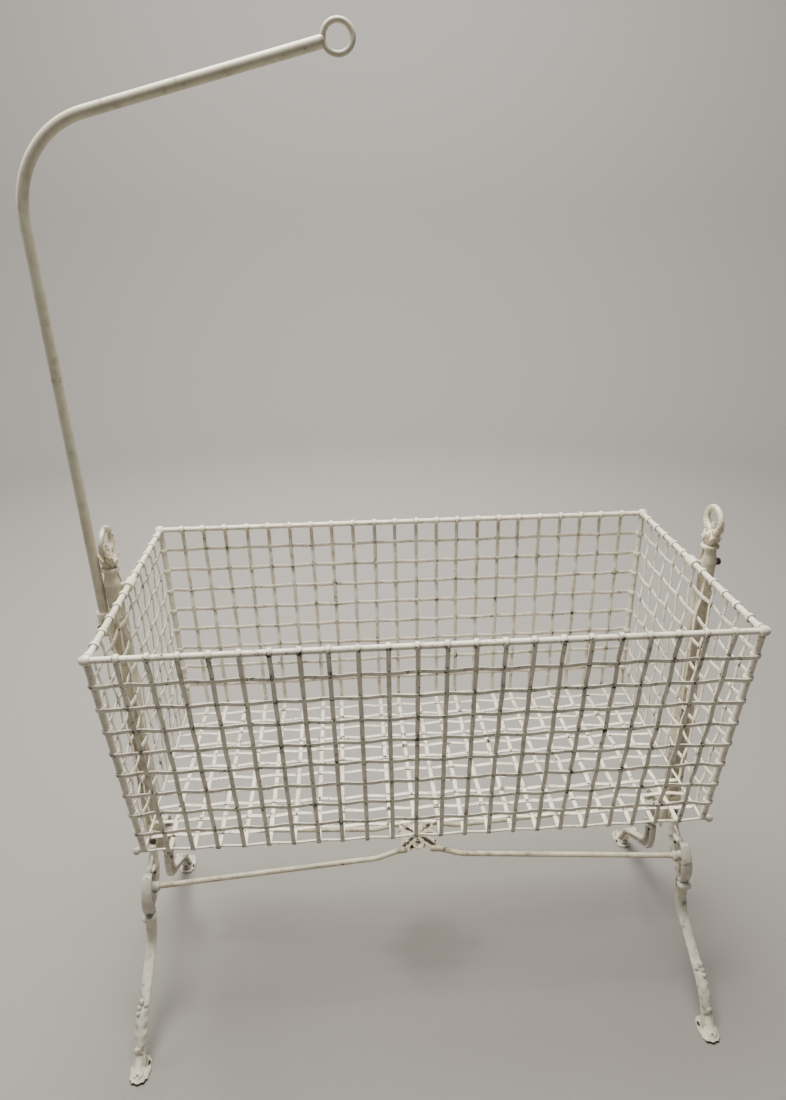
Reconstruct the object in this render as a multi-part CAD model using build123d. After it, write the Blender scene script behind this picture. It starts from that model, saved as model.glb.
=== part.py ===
from build123d import *
import math
import os

# Swinging wire cradle on a cast stand, with a canopy pole at its left end.
# Millimetres. +X runs along the cradle to the right, +Y to the rear, +Z up.
# The origin is on the floor under the centre of the whole object's box.

os.makedirs("parts", exist_ok=True)

# ---------------------------------------------------------------- basket sizes
basket_length = 914.0  # between the axes of the two end rim rods
basket_width = 468.0  # between the axes of the front and rear rim rods
end_flare = 19.0  # how far each end leans out from its bottom rod to its rim rod
side_flare = 37.0  # the same for the front and the rear
rim_height = 810.0  # axis of the rim rods above the floor
basket_depth = 360.0  # from the rim rods' axes down to the bottom rods'
rim_rod_radius = 4.75
bottom_rod_radius = 2.0
corner_rod_radius = 5.2
corner_rod_tilt = 0.12  # an end face's rise per radius, as the rod leans both ways
mesh_pitch = 40.0  # the lattice's nominal cell
strip_width = 6.6
strip_thickness = 2.0
collar_wall = 2.3
collar_width = 9.0
knob_wall = 3.97  # from the bottom rod's hole to the knob's outside
knob_stand_off = 0.5  # between a corner rod's side and the knob
contact_gap = 0.03  # between pieces that lie against each other
weld_gap = 0.1  # between a rod's end and the rod that it butts on

# ---------------------------------------------------------------- pivot sizes
pin_radius = 4.0
pin_running_gap = 0.06
lug_wall = 3.72  # round the end rim rod
lug_length = 24.0
slot_rise = 20.0  # how far the pin's slot runs up from its seat
pin_cap_radius = 6.0
pin_cap_length = 6.0
pin_cap_gap = 1.2  # between the cap and the neck

# ---------------------------------------------------------------- stand sizes
post_clearance = 13.0  # from an end rim rod's axis to the post's inner face
post_size = 24.0  # both ways across the post's shaft
post_flange = 5.0
post_groove = 6.0
post_foot_drop = 24.0  # post's foot below the leg bolt
neck_height = 78.0
neck_radius = 13.5
neck_top_radius = 11.0
neck_below_pivot = 52.0  # from the pivot's axis down to the neck's foot
hub_rise = 113.0  # the leg bolt above the knee collar
hub_pad_height = 40.0
hub_pad_depth = 7.0
leg_bolt_radius = 3.0
leg_bolt_head_radius = 6.0
leg_bolt_head_length = 4.0
bolt_hole_gap = 0.15
collar_height = 193.0  # the knee collar above the floor
foot_out = 233.0  # the foot's middle from the post's axis, to front or rear
leg_splay = 3.2  # degrees that the legs lean outwards along X
leg_strap_width = 16.0
leg_strap_thickness = 5.0
leg_web_width = 5.0
leg_depth = 13.0
leg_bead_width = 9.0
leg_bead_thickness = 3.0
knee_radius = 60.0
knee_turn = 57.0
shin_length = 85.0
ankle_radius = 90.0
ankle_turn = 27.0
ankle_length = 42.0
knee_collar_radius = 8.5
knee_collar_width = 21.0
scroll_width = 19.0
scroll_thickness = 6.0
scroll_bulge = 27.0  # how far the scroll stands out past the knee collar
scroll_rise = 119.0  # the scroll's tip above the knee collar
scroll_tip_in = 4.0  # the scroll's tip past the knee collar
leaf_width = 14.0
leaf_thickness = 10.0
hub_web_thickness = 6.0
pad_length = 46.0
pad_width = 28.0
pad_thickness = 7.0
pad_corner = 9.0
pad_hole_radius = 2.6

# ---------------------------------------------------------------- finial sizes
finial_collar_radius = 14.5
finial_collar_height = 6.0
acanthus_height = 22.0
acanthus_radius = 13.0
acanthus_waist_radius = 8.0
acanthus_knob_radius = 5.0
acanthus_knob_reach = 12.5
finial_ring_width = 57.0
finial_ring_height = 49.0
finial_ring_wall = 9.5
finial_ring_thickness = 7.0
tongue_height = 11.0
tongue_width = 7.0

# ---------------------------------------------------------------- stretcher sizes
stretcher_radius = 4.8
boss_in = 9.47  # the stretcher's boss in from the knee collar, towards the post
boss_rise = 54.0  # above the knee collar
boss_wall = 3.67  # round the stretcher's end
boss_reach = 17.0  # how far the boss stands in from the hub's web
boss_bore_depth = 9.0
bend_x = 78.0  # where a stretcher turns up to the rosette
bend_y = 37.2
bend_rise = 58.0  # above the knee collar
bend_radius = 60.0
rosette_rise = 71.0  # above the knee collar
rosette_ring_radius = 27.0
rosette_ring_wall = 6.0
rosette_thickness = 7.0
rosette_petals = 8
rosette_petal_radius = 8.0
rosette_corner_petal_radius = 11.0
rosette_hub_radius = 9.0
rosette_spoke_width = 5.0
rosette_socket_x = 34.0
rosette_socket_y = 33.5
rosette_socket_wall = 2.67
rosette_socket_length = 15.0

# ---------------------------------------------------------------- canopy pole sizes
pole_radius = 8.0
pole_wall = 1.6
pole_post_gap = 1.0  # between the pole's foot and the post's outer face
pole_foot_drop = 28.0  # pole's foot below the foot of the post's neck
pole_lean = 1.3  # degrees that the pole leans away from the cradle
pole_rise = 714.0  # from the pole's foot to where the lines of shank and arm meet
pole_bend_radius = 126.0
arm_rise = 13.8  # degrees
ring_x = 97.0  # ring's middle from the cradle's middle
ring_major_radius = 18.6
ring_wire_radius = 3.6
socket_wall = 3.44
socket_running_gap = 0.06
socket_depth = 34.0
socket_floor = 6.0
socket_plate_thickness = 5.0
socket_plate_width = 22.0
socket_plate_drop = 34.0  # plate's foot below the pole's foot
socket_screw_radius = 2.45
socket_screw_gap = 0.05
socket_screw_depth = 12.0
socket_screw_drops = (14.0, 28.0)
socket_screw_head_radius = 4.6
socket_screw_head_length = 3.2
clamp_screw_radius = 2.5
clamp_screw_rise = 17.0  # clamp screw above the pole's foot
clamp_screw_length = 16.0
clamp_screw_head_size = 9.0
clamp_screw_head_length = 6.0

# ---------------------------------------------------------------- worked-out places
floor_length = basket_length - 2 * end_flare
floor_width = basket_width - 2 * side_flare
floor_height = rim_height - basket_depth
knob_radius = bottom_rod_radius + contact_gap + knob_wall
knob_reach = corner_rod_radius + knob_radius + knob_stand_off
lug_radius = rim_rod_radius + contact_gap + lug_wall
pivot_height = rim_height
post_x = basket_length / 2 + post_clearance + post_size / 2
post_outer_x = post_x + post_size / 2
hub_height = collar_height + hub_rise
post_foot_height = hub_height - post_foot_drop
boss_height = collar_height + boss_rise
boss_radius = stretcher_radius + contact_gap + boss_wall
bend_height = collar_height + bend_rise
rosette_height = collar_height + rosette_rise
rosette_socket_radius = stretcher_radius + contact_gap + rosette_socket_wall
neck_foot_height = pivot_height - neck_below_pivot
neck_top_height = neck_foot_height + neck_height
long_bays = round(basket_length / mesh_pitch)
end_bays = round(basket_width / mesh_pitch)
foot_x = post_x + hub_height * math.tan(math.radians(leg_splay))
lean = math.radians(pole_lean)
pole_foot_x = post_outer_x + pole_radius + pole_post_gap
pole_foot_height = neck_foot_height - pole_foot_drop
pole_corner_height = pole_foot_height + pole_rise
socket_radius = pole_radius + socket_running_gap + socket_wall
pole_corner_x = pole_foot_x + (pole_corner_height - pole_foot_height) * math.tan(lean)
pole_turn = math.radians(90 + pole_lean - arm_rise)
pole_bend_start_x = pole_corner_x - pole_bend_radius * math.tan(pole_turn / 2) * math.sin(lean)
pole_left_extent = pole_bend_start_x + pole_bend_radius * (1 - math.cos(lean)) + pole_radius
foot_right_extent = foot_x + pad_width / 2
# The pole stands out further than the feet, so the cradle sits a little to the right.
centre_shift = (pole_left_extent - foot_right_extent) / 2

FRONT = -1
REAR = 1
RIGHT = 1
LEFT = -1


def save(name, solids):
    """Write one node, moved so that the whole object's box is centred on the origin."""
    shape = Compound(list(solids))
    export_step(shape.moved(Location((centre_shift, 0, 0))), f"parts/{name}.step")


def round_bar(start, end, radius):
    """A straight round rod between two points."""
    start, end = Vector(*start), Vector(*end)
    run = end - start
    rod = Cylinder(radius, run.length, align=(Align.CENTER, Align.CENTER, Align.MIN))
    return (Plane(origin=start, z_dir=run).location * rod).solid()


def flat_bar(start, end, facing, width=strip_width, thickness=strip_thickness):
    """A straight flat strip between two points, its wide face turned to a direction."""
    run = end - start
    facing = facing - run * (facing.dot(run) / run.dot(run))
    plane = Plane(origin=(start + end) / 2, x_dir=run, z_dir=facing)
    return (plane.location * Box(run.length, width, thickness)).solid()


def bored(shape, start, end, radius):
    """A shape with a round hole between two points."""
    return shape - round_bar(start, end, radius)


# ---------------------------------------------------------------- basket


class Panel:
    """One sloping side of the basket, between its rim rod and its bottom rod."""

    def __init__(self, along, outward, reach_top, reach_bottom, half_top, half_bottom):
        self.along = Vector(*along)
        outward = Vector(*outward)
        self.top = outward * reach_top + Vector(0, 0, rim_height)
        self.bottom = outward * reach_bottom + Vector(0, 0, floor_height)
        self.half_top = half_top
        self.half_bottom = half_bottom
        self.fall = self.bottom - self.top
        self.slope = self.fall.length
        self.down = self.fall.normalized()
        self.face = (outward - self.down * outward.dot(self.down)).normalized()

    def half(self, share):
        """Half the panel's width at a share of its slope."""
        return self.half_top + (self.half_bottom - self.half_top) * share

    def point(self, across, share, stand_off):
        """A point at a share of the width and of the slope, off the rods' plane."""
        along = self.along * (across * self.half(share))
        return self.top + self.fall * share + along + self.face * stand_off

    def tangent(self, share):
        """Stand-off of the plane that lies on the rim rod and on the bottom rod."""
        return rim_rod_radius + (bottom_rod_radius - rim_rod_radius) * share

    def uprights(self, bays, lug_half=0.0):
        """The strips that fan down outside the rods, clear of a pivot lug."""
        strips = []
        for index in range(1, bays):
            across = 2 * index / bays - 1
            in_lug = abs(across) * self.half_top < lug_half + strip_width / 2
            start = (lug_radius + weld_gap * 3) / self.slope if in_lug else 0.0
            off = strip_thickness / 2 + contact_gap
            upper = self.point(across, start, self.tangent(start) + off)
            lower = self.point(across, 1.0, self.tangent(1.0) + off)
            strips.append(flat_bar(upper, lower, self.face))
        return strips

    def rails(self):
        """The level strips that lie inside the uprights, from corner to corner."""
        rows = round(self.slope / mesh_pitch)
        strips = []
        for index in range(1, rows):
            share = index / rows
            taper = (self.half_top - self.half_bottom) / self.slope * strip_width / 2
            reach = self.half(share) - corner_rod_radius - weld_gap * 2 - taper
            across = reach / self.half(share)
            off = self.tangent(share) - strip_thickness / 2 - contact_gap
            ends = (self.point(-across, share, off), self.point(across, share, off))
            strips.append(flat_bar(ends[0], ends[1], self.face))
        return strips

    def corner_rod(self, side):
        """The rod on the corner line, between the rim's collar and the bottom rod."""
        tilt = corner_rod_radius * corner_rod_tilt
        from_top = (rim_rod_radius + collar_wall + contact_gap + weld_gap + tilt) / self.slope
        from_bottom = 1 - (bottom_rod_radius + weld_gap * 3 + tilt) / self.slope
        ends = []
        for share in (from_top, from_bottom):
            ends.append(self.point(side, share, 0.0))
        return round_bar(ends[0], ends[1], corner_rod_radius)


def long_panel(side):
    return Panel(
        (1, 0, 0), (0, side, 0), basket_width / 2, floor_width / 2,
        basket_length / 2, floor_length / 2,
    )


def end_panel(side):
    return Panel(
        (0, 1, 0), (side, 0, 0), basket_length / 2, floor_length / 2,
        basket_width / 2, floor_width / 2,
    )


panels = {
    "front": (long_panel(FRONT), long_bays, 0.0),
    "rear": (long_panel(REAR), long_bays, 0.0),
    "left": (end_panel(LEFT), end_bays, lug_length / 2),
    "right": (end_panel(RIGHT), end_bays, lug_length / 2),
}
for panel_name, (panel, bays, lug_half) in panels.items():
    save(f"{panel_name}_upright_strips", panel.uprights(bays, lug_half))
    save(f"{panel_name}_level_strips", panel.rails())

collar_radius = rim_rod_radius + contact_gap + collar_wall


def rim_rod(name):
    """A long rim rod runs through both corners; a short one stops at the collars."""
    if name in ("front", "rear"):
        side = FRONT if name == "front" else REAR
        reach = basket_length / 2 + collar_width / 2
        y = side * basket_width / 2
        return round_bar((-reach, y, rim_height), (reach, y, rim_height), rim_rod_radius)
    side = LEFT if name == "left" else RIGHT
    reach = basket_width / 2 - collar_radius - weld_gap
    x = side * basket_length / 2
    return round_bar((x, -reach, rim_height), (x, reach, rim_height), rim_rod_radius)


def bottom_rod(name):
    """A long bottom rod runs into the corner knobs; a short one butts between them."""
    if name in ("front", "rear"):
        side = FRONT if name == "front" else REAR
        reach = floor_length / 2 + knob_reach
        y = side * floor_width / 2
        return round_bar((-reach, y, floor_height), (reach, y, floor_height), bottom_rod_radius)
    side = LEFT if name == "left" else RIGHT
    reach = floor_width / 2 - bottom_rod_radius - weld_gap
    x = side * floor_length / 2
    return round_bar((x, -reach, floor_height), (x, reach, floor_height), bottom_rod_radius)


for name in panels:
    save(f"{name}_rim_rod", [rim_rod(name)])
    save(f"{name}_bottom_rod", [bottom_rod(name)])

rim_collars = []
corner_knobs = []
for x_side in (LEFT, RIGHT):
    for y_side in (FRONT, REAR):
        x = x_side * basket_length / 2
        y = y_side * basket_width / 2
        ends = ((x - collar_width / 2, y, rim_height), (x + collar_width / 2, y, rim_height))
        sleeve = round_bar(ends[0], ends[1], collar_radius)
        sleeve = bored(sleeve, ends[0], ends[1], rim_rod_radius + contact_gap)
        rim_collars.append(sleeve.solid())
        knob_x = x_side * (floor_length / 2 + knob_reach)
        knob_y = y_side * floor_width / 2
        ball = Pos(knob_x, knob_y, floor_height) * Rot(0, 90 * x_side, 0) * Sphere(knob_radius)
        inner = (knob_x - x_side * knob_radius * 2, knob_y, floor_height)
        outer = (knob_x + x_side * contact_gap, knob_y, floor_height)
        ball = bored(ball, inner, outer, bottom_rod_radius + contact_gap)
        corner_knobs.append(ball.solid())
        long_side = panels["front" if y_side == FRONT else "rear"][0]
        corner = ("front" if y_side == FRONT else "rear") + ("_left" if x_side == LEFT else "_right")
        save(f"{corner}_corner_rod", [long_side.corner_rod(x_side)])
save("rim_corner_collars", rim_collars)
save("bottom_corner_knobs", corner_knobs)


def floor_cross_strips():
    """Strips from front to rear under the bottom rods, one below each upright."""
    z = floor_height - bottom_rod_radius - strip_thickness / 2 - contact_gap
    strips = []
    for index in range(1, long_bays):
        x = (2 * index / long_bays - 1) * floor_length / 2
        ends = (Vector(x, -floor_width / 2, z), Vector(x, floor_width / 2, z))
        strips.append(flat_bar(ends[0], ends[1], Vector(0, 0, 1)))
    return strips


def floor_long_strips():
    """Strips from end to end that lie on the cross strips."""
    z = floor_height - bottom_rod_radius + strip_thickness / 2
    reach = floor_length / 2 - bottom_rod_radius - weld_gap
    strips = []
    for index in range(1, end_bays):
        y = (2 * index / end_bays - 1) * floor_width / 2
        ends = (Vector(-reach, y, z), Vector(reach, y, z))
        strips.append(flat_bar(ends[0], ends[1], Vector(0, 0, 1)))
    return strips


save("floor_cross_strips", floor_cross_strips())
save("floor_long_strips", floor_long_strips())

neck_outer_x = post_x + neck_radius


def pivot_pin(side, tip_x):
    """A lug that clasps the end rim rod, with the pin that stands out of it."""
    x = side * basket_length / 2
    lug = round_bar((x, -lug_length / 2, pivot_height), (x, lug_length / 2, pivot_height), lug_radius)
    lug += round_bar((x, 0, pivot_height), (side * tip_x, 0, pivot_height), pin_radius)
    ends = ((x, -lug_length, pivot_height), (x, lug_length, pivot_height))
    return bored(lug, ends[0], ends[1], rim_rod_radius + contact_gap).solid()


cap_start = neck_outer_x + pin_cap_gap
cap_end = cap_start + pin_cap_length
pin_cap = round_bar((cap_start, 0, pivot_height), (cap_end, 0, pivot_height), pin_cap_radius)
pin_cap = fillet(pin_cap.edges().filter_by(GeomType.CIRCLE).group_by(Axis.X)[-1], 2.0)
pin_cap = bored(
    pin_cap, (cap_start, 0, pivot_height), (cap_end - 2, 0, pivot_height), pin_radius + contact_gap
)
save("left_pivot_pin", [pivot_pin(LEFT, neck_outer_x - 0.5)])
save("right_pivot_pin", [pivot_pin(RIGHT, cap_end - 2 - contact_gap)])
save("right_pivot_cap", [pin_cap.solid()])

# ---------------------------------------------------------------- stand


def post():
    """Right-hand post: an H-shaped shaft under a round neck with the pin's slot."""
    shaft_length = neck_foot_height - post_foot_height
    shaft = Pos(post_x, 0, post_foot_height) * Box(
        post_size, post_size, shaft_length, align=(Align.CENTER, Align.CENTER, Align.MIN)
    )
    groove_foot = hub_height + hub_pad_height / 2 + 6
    groove_top = neck_foot_height - socket_screw_head_radius - 8
    groove_width = post_size - 2 * post_flange
    for side in (FRONT, REAR):
        groove = Box(
            groove_width, post_groove, groove_top - groove_foot,
            align=(Align.CENTER, Align.CENTER, Align.MIN),
        )
        shaft -= Pos(post_x, side * (post_size - post_groove) / 2, groove_foot) * groove
    with BuildSketch(Plane.XZ) as outline:
        with BuildLine():
            Polyline(
                (0, neck_foot_height),
                (post_size / 2, neck_foot_height),
                (neck_radius - 1.5, neck_foot_height + 14),
                (neck_radius, pivot_height - 6),
                (neck_radius, pivot_height + 6),
                (neck_top_radius, neck_top_height - 8),
                (neck_top_radius, neck_top_height),
                (0, neck_top_height),
                close=True,
            )
        make_face()
    neck = Pos(post_x, 0, 0) * revolve(outline.sketch, Axis.Z)
    body = shaft + neck
    slot_radius = pin_radius + pin_running_gap
    inner, outer = post_x - neck_radius * 2, post_x + neck_radius * 2
    for z in (pivot_height, pivot_height + slot_rise):
        body = bored(body, (inner, 0, z), (outer, 0, z), slot_radius)
    body -= Pos(post_x, 0, pivot_height + slot_rise / 2) * Box(
        neck_radius * 4, slot_radius * 2, slot_rise
    )
    return bored(
        body, (post_x, -post_size, hub_height), (post_x, post_size, hub_height),
        leg_bolt_radius + bolt_hole_gap,
    ).solid()


def finial():
    """Right-hand finial: a collar, a leafy cup with knobs, and a flat oval ring."""
    base = neck_top_height + contact_gap
    cup_base = base + finial_collar_height
    cup_top = cup_base + acanthus_height
    with BuildSketch(Plane.XZ) as outline:
        with BuildLine():
            Polyline(
                (0, base),
                (finial_collar_radius, base),
                (finial_collar_radius, base + finial_collar_height - 2),
                (acanthus_waist_radius + 2, cup_base),
                (acanthus_radius, cup_base + acanthus_height / 3),
                (acanthus_radius - 1, cup_base + acanthus_height * 0.6),
                (acanthus_waist_radius - 2, cup_top),
                (0, cup_top),
                close=True,
            )
        make_face()
    cup = revolve(outline.sketch, Axis.Z)
    knob_z = cup_base + acanthus_height / 2
    for turn in range(4):
        angle = math.radians(45 + 90 * turn)
        outward = Vector(math.cos(angle), math.sin(angle), 0)
        knob_end = outward * (acanthus_knob_reach + acanthus_knob_radius) + Vector(0, 0, knob_z)
        cup += round_bar(Vector(0, 0, knob_z), knob_end, acanthus_knob_radius)
    ring_z = cup_top - 4 + finial_ring_height / 2
    ring_outline = Ellipse(finial_ring_width / 2, finial_ring_height / 2)
    ring_outline -= Ellipse(
        finial_ring_width / 2 - finial_ring_wall, finial_ring_height / 2 - finial_ring_wall
    )
    # The ring lies in the YZ plane.
    ring_plane = Plane(origin=(0, 0, ring_z), x_dir=(0, 1, 0), z_dir=(1, 0, 0))
    ring = extrude(ring_plane * ring_outline, finial_ring_thickness / 2, both=True)
    tongue_foot = ring_z - finial_ring_height / 2 + finial_ring_wall - 2
    tongue = Pos(0, 0, tongue_foot) * Cone(
        tongue_width / 2, 1.5, tongue_height, align=(Align.CENTER, Align.CENTER, Align.MIN)
    )
    return (Pos(post_x, 0, 0) * (cup + ring + tongue)).solid()


finial_height = neck_top_height + finial_collar_height + acanthus_height - 4 + finial_ring_height
ankle_slope = math.radians(90 - knee_turn + ankle_turn)
shin_slope = math.radians(90 - knee_turn)
leg_reach = (
    knee_radius * (1 - math.cos(math.radians(knee_turn)))
    + shin_length * math.cos(shin_slope)
    + ankle_radius * (math.sin(ankle_slope) - math.sin(shin_slope))
    + ankle_length * math.cos(ankle_slope)
)
leg_fall = (
    knee_radius * math.sin(math.radians(knee_turn))
    + shin_length * math.sin(shin_slope)
    + ankle_radius * (math.cos(shin_slope) - math.cos(ankle_slope))
    + ankle_length * math.sin(ankle_slope)
)
leg_end_height = pad_thickness / 2
leg_end_out = foot_out - 5
collar_out = leg_end_out - leg_reach
boss_out = collar_out - boss_in
leg_drop = collar_height - leg_end_height - leg_fall
# Outward distance runs along the plane's x, height along its y.
leg_plane = Plane(origin=(0, 0, 0), x_dir=(0, -1, 0), z_dir=(-1, 0, 0))


def leg_line(shift):
    """The leg's run from the knee collar to the foot, moved sideways towards its front."""
    start = (collar_out + shift, collar_height)
    drop = Line(start, (start[0], collar_height - leg_drop))
    knee = JernArc(drop @ 1, drop % 1, knee_radius - shift, knee_turn)
    shin = Line(knee @ 1, knee @ 1 + (knee % 1) * shin_length)
    ankle = JernArc(shin @ 1, shin % 1, ankle_radius + shift, -ankle_turn)
    end = Line(ankle @ 1, ankle @ 1 + (ankle % 1) * ankle_length)
    return drop + knee + shin + ankle + end


def leg_band(line, thickness, width):
    """A band that follows a line in the leg's plane, even about that plane."""
    return extrude(leg_plane * trace(line, thickness), width / 2, both=True)


def leg():
    """Right-hand front leg: bolting pad, leaf, scroll, knee collar, leg and foot."""
    pad_out = post_size / 2 + contact_gap
    pad = leg_plane * Pos(pad_out + hub_pad_depth / 2, hub_height) * Rectangle(
        hub_pad_depth, hub_pad_height
    )
    body = extrude(pad, leaf_width / 2, both=True)
    leaf_top = (pad_out + hub_pad_depth - 1, hub_height - hub_pad_height / 2 + leaf_thickness)
    collar_at = (collar_out, collar_height)
    leaf = TangentArc(leaf_top, collar_at, tangent=(0, -1))
    body += leg_band(leaf, leaf_thickness, leaf_width)
    scroll_tip = (collar_out + scroll_tip_in, collar_height + scroll_rise)
    scroll_middle = (collar_out + scroll_bulge, collar_height + scroll_rise * 0.58)
    scroll = ThreePointArc(collar_at, scroll_middle, scroll_tip)
    body += leg_band(scroll, scroll_thickness, scroll_width)
    tip_at = leg_plane.from_local_coords(Vector(*scroll_tip))
    body += Pos(tip_at) * Rot(0, 90, 0) * Cylinder(scroll_thickness, scroll_width)
    web_dip = ((pad_out + scroll_tip[0]) / 2, boss_height + boss_radius + 4)
    web_edge = ThreePointArc(scroll @ 0.85, web_dip, leaf @ 0.12)
    closing = Line(leaf @ 0.12, leaf @ 0)
    web_ring = [leaf, scroll.trim(0, 0.85), web_edge, closing]
    web = make_face(Wire(Curve(web_ring).edges()))
    body += extrude(leg_plane * web, hub_web_thickness / 2, both=True)
    collar_point = leg_plane.from_local_coords(Vector(*collar_at))
    body += Pos(collar_point) * Rot(0, 90, 0) * Cylinder(knee_collar_radius, knee_collar_width)
    strap_shift = (leg_depth - leg_strap_thickness) / 2
    body += leg_band(leg_line(strap_shift), leg_strap_thickness, leg_strap_width)
    body += leg_band(leg_line(0), leg_depth - 1, leg_web_width)
    bead_shift = -(leg_depth - leg_bead_thickness) / 2
    body += leg_band(leg_line(bead_shift), leg_bead_thickness, leg_bead_width)
    # The casting leans outwards about the leg bolt's line, while its foot stays level.
    body = Pos(post_x, 0, hub_height) * Rot(0, -leg_splay, 0) * Pos(0, 0, -hub_height) * body
    foot = Pos(foot_x, -foot_out, 0) * Box(
        pad_width, pad_length, pad_thickness, align=(Align.CENTER, Align.CENTER, Align.MIN)
    )
    foot = fillet(foot.edges().filter_by(Axis.Z), pad_corner)
    body += foot
    below = Box(400, 900, 200, align=(Align.CENTER, Align.CENTER, Align.MAX))
    body -= Pos(post_x, 0, 0) * below
    boss_inner, boss_outer = boss_line()
    body += round_bar(boss_inner, boss_outer, boss_radius)
    bore_end = boss_inner + (boss_outer - boss_inner).normalized() * boss_bore_depth
    body = bored(body, boss_inner, bore_end, stretcher_radius + contact_gap)
    bolt_front = (post_x, -post_size * 2, hub_height)
    body = bored(body, bolt_front, (post_x, 0, hub_height), leg_bolt_radius + bolt_hole_gap)
    return body.solid()


def boss_line():
    """Ends of the front right boss, on the line of its stretcher."""
    web_x = post_x + (hub_height - boss_height) * math.tan(math.radians(leg_splay))
    outer = Vector(web_x, -boss_out, boss_height)
    bend = Vector(bend_x, -bend_y, bend_height)
    inward = (bend - outer).normalized()
    return outer + inward * boss_reach, outer


def stretcher():
    """Front right stretcher, from its boss to the rosette's socket."""
    boss_inner, boss_outer = boss_line()
    outward = (boss_outer - boss_inner).normalized()
    start = boss_inner + outward * (boss_bore_depth - contact_gap)
    bend = Vector(bend_x, -bend_y, bend_height)
    socket = Vector(rosette_socket_x, -rosette_socket_y, rosette_height)
    path = FilletPolyline(start, bend, socket, radius=bend_radius)
    section = Plane(origin=path @ 0, z_dir=path % 0) * Circle(stretcher_radius)
    return sweep(section, path).solid()


def rosette():
    """The openwork casting that joins the four stretchers."""
    plate = Circle(rosette_ring_radius) - Circle(rosette_ring_radius - rosette_ring_wall)
    for petal in range(rosette_petals):
        angle = 360 / rosette_petals * petal
        radius = rosette_corner_petal_radius if petal % 2 else rosette_petal_radius
        plate += Rot(0, 0, angle) * Pos(rosette_ring_radius + radius / 2, 0) * Circle(radius)
        plate += Rot(0, 0, angle) * Pos(rosette_ring_radius / 2, 0) * Rectangle(
            rosette_ring_radius, rosette_spoke_width
        )
    plate += Circle(rosette_hub_radius)
    body = Pos(0, 0, rosette_height) * extrude(plate, rosette_thickness / 2, both=True)
    body += Pos(0, 0, rosette_height + rosette_thickness / 2 - 4) * Sphere(rosette_hub_radius - 1)
    socket = Vector(rosette_socket_x, -rosette_socket_y, rosette_height)
    bend = Vector(bend_x, -bend_y, bend_height)
    outward = (bend - socket).normalized()
    for x_side in (LEFT, RIGHT):
        for y_side in (FRONT, REAR):
            turn = Vector(x_side, -y_side, 1)
            mouth = socket + outward * (rosette_socket_length / 2)
            seat = socket - outward * (rosette_socket_length / 2)
            mouth = Vector(mouth.X * turn.X, mouth.Y * turn.Y, mouth.Z)
            seat = Vector(seat.X * turn.X, seat.Y * turn.Y, seat.Z)
            middle = Vector(socket.X * turn.X, socket.Y * turn.Y, socket.Z)
            back = (seat - mouth).normalized()
            body += round_bar(seat, mouth, rosette_socket_radius)
            body = bored(body, mouth, middle + back * contact_gap, stretcher_radius + contact_gap)
    return body.solid()


def leg_bolt():
    """The bolt through both legs' pads and the right-hand post, with its nut."""
    face = post_size / 2 + contact_gap + hub_pad_depth + contact_gap
    bolt = round_bar((post_x, -face, hub_height), (post_x, face, hub_height), leg_bolt_radius)
    for side in (FRONT, REAR):
        head = extrude(RegularPolygon(leg_bolt_head_radius, 6), leg_bolt_head_length)
        bolt += Pos(post_x, side * face, hub_height) * Rot(-90 * side, 0, 0) * head
    return bolt.solid()


right_front_leg = leg()
right_stretcher = stretcher()
across = Plane.YZ
to_rear = Plane.XZ
right_post = post()
right_finial = finial()
right_leg_bolt = leg_bolt()

save("right_post", [right_post])
save("right_finial", [right_finial])
save("left_finial", [Pos(-2 * post_x, 0, 0) * right_finial])
save("right_leg_bolt", [right_leg_bolt])
save("left_leg_bolt", [mirror(right_leg_bolt, about=across).solid()])
save("right_front_leg", [right_front_leg])
save("right_rear_leg", [mirror(right_front_leg, about=to_rear).solid()])
left_front_leg = mirror(right_front_leg, about=across).solid()
save("left_front_leg", [left_front_leg])
save("left_rear_leg", [mirror(left_front_leg, about=to_rear).solid()])
save("front_right_stretcher", [right_stretcher])
save("rear_right_stretcher", [mirror(right_stretcher, about=to_rear).solid()])
left_stretcher = mirror(right_stretcher, about=across).solid()
save("front_left_stretcher", [left_stretcher])
save("rear_left_stretcher", [mirror(left_stretcher, about=to_rear).solid()])
save("stretcher_rosette", [rosette()])

# ---------------------------------------------------------------- canopy pole

pole_foot = Vector(-pole_foot_x, 0, pole_foot_height)
pole_up = Vector(-math.sin(lean), 0, math.cos(lean))
pole_corner = Vector(-pole_corner_x, 0, pole_corner_height)
arm_along = Vector(math.cos(math.radians(arm_rise)), 0, math.sin(math.radians(arm_rise)))
ring_middle = pole_corner + arm_along * ((pole_corner_x - ring_x) / arm_along.X)


def ring(wire_radius):
    """The ring at the arm's end, in the plane of the pole."""
    return Pos(ring_middle) * Rot(90, 0, 0) * Torus(ring_major_radius, wire_radius)


def pole_tube():
    """The bent tube, its end saddled on the ring."""
    end = ring_middle - arm_along * (ring_major_radius + ring_wire_radius / 2)
    path = FilletPolyline(pole_foot, pole_corner, end, radius=pole_bend_radius)
    section = Circle(pole_radius) - Circle(pole_radius - pole_wall)
    tube = sweep(Plane(origin=path @ 0, z_dir=path % 0) * section, path)
    return (tube - ring(ring_wire_radius + contact_gap)).solid()


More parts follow.
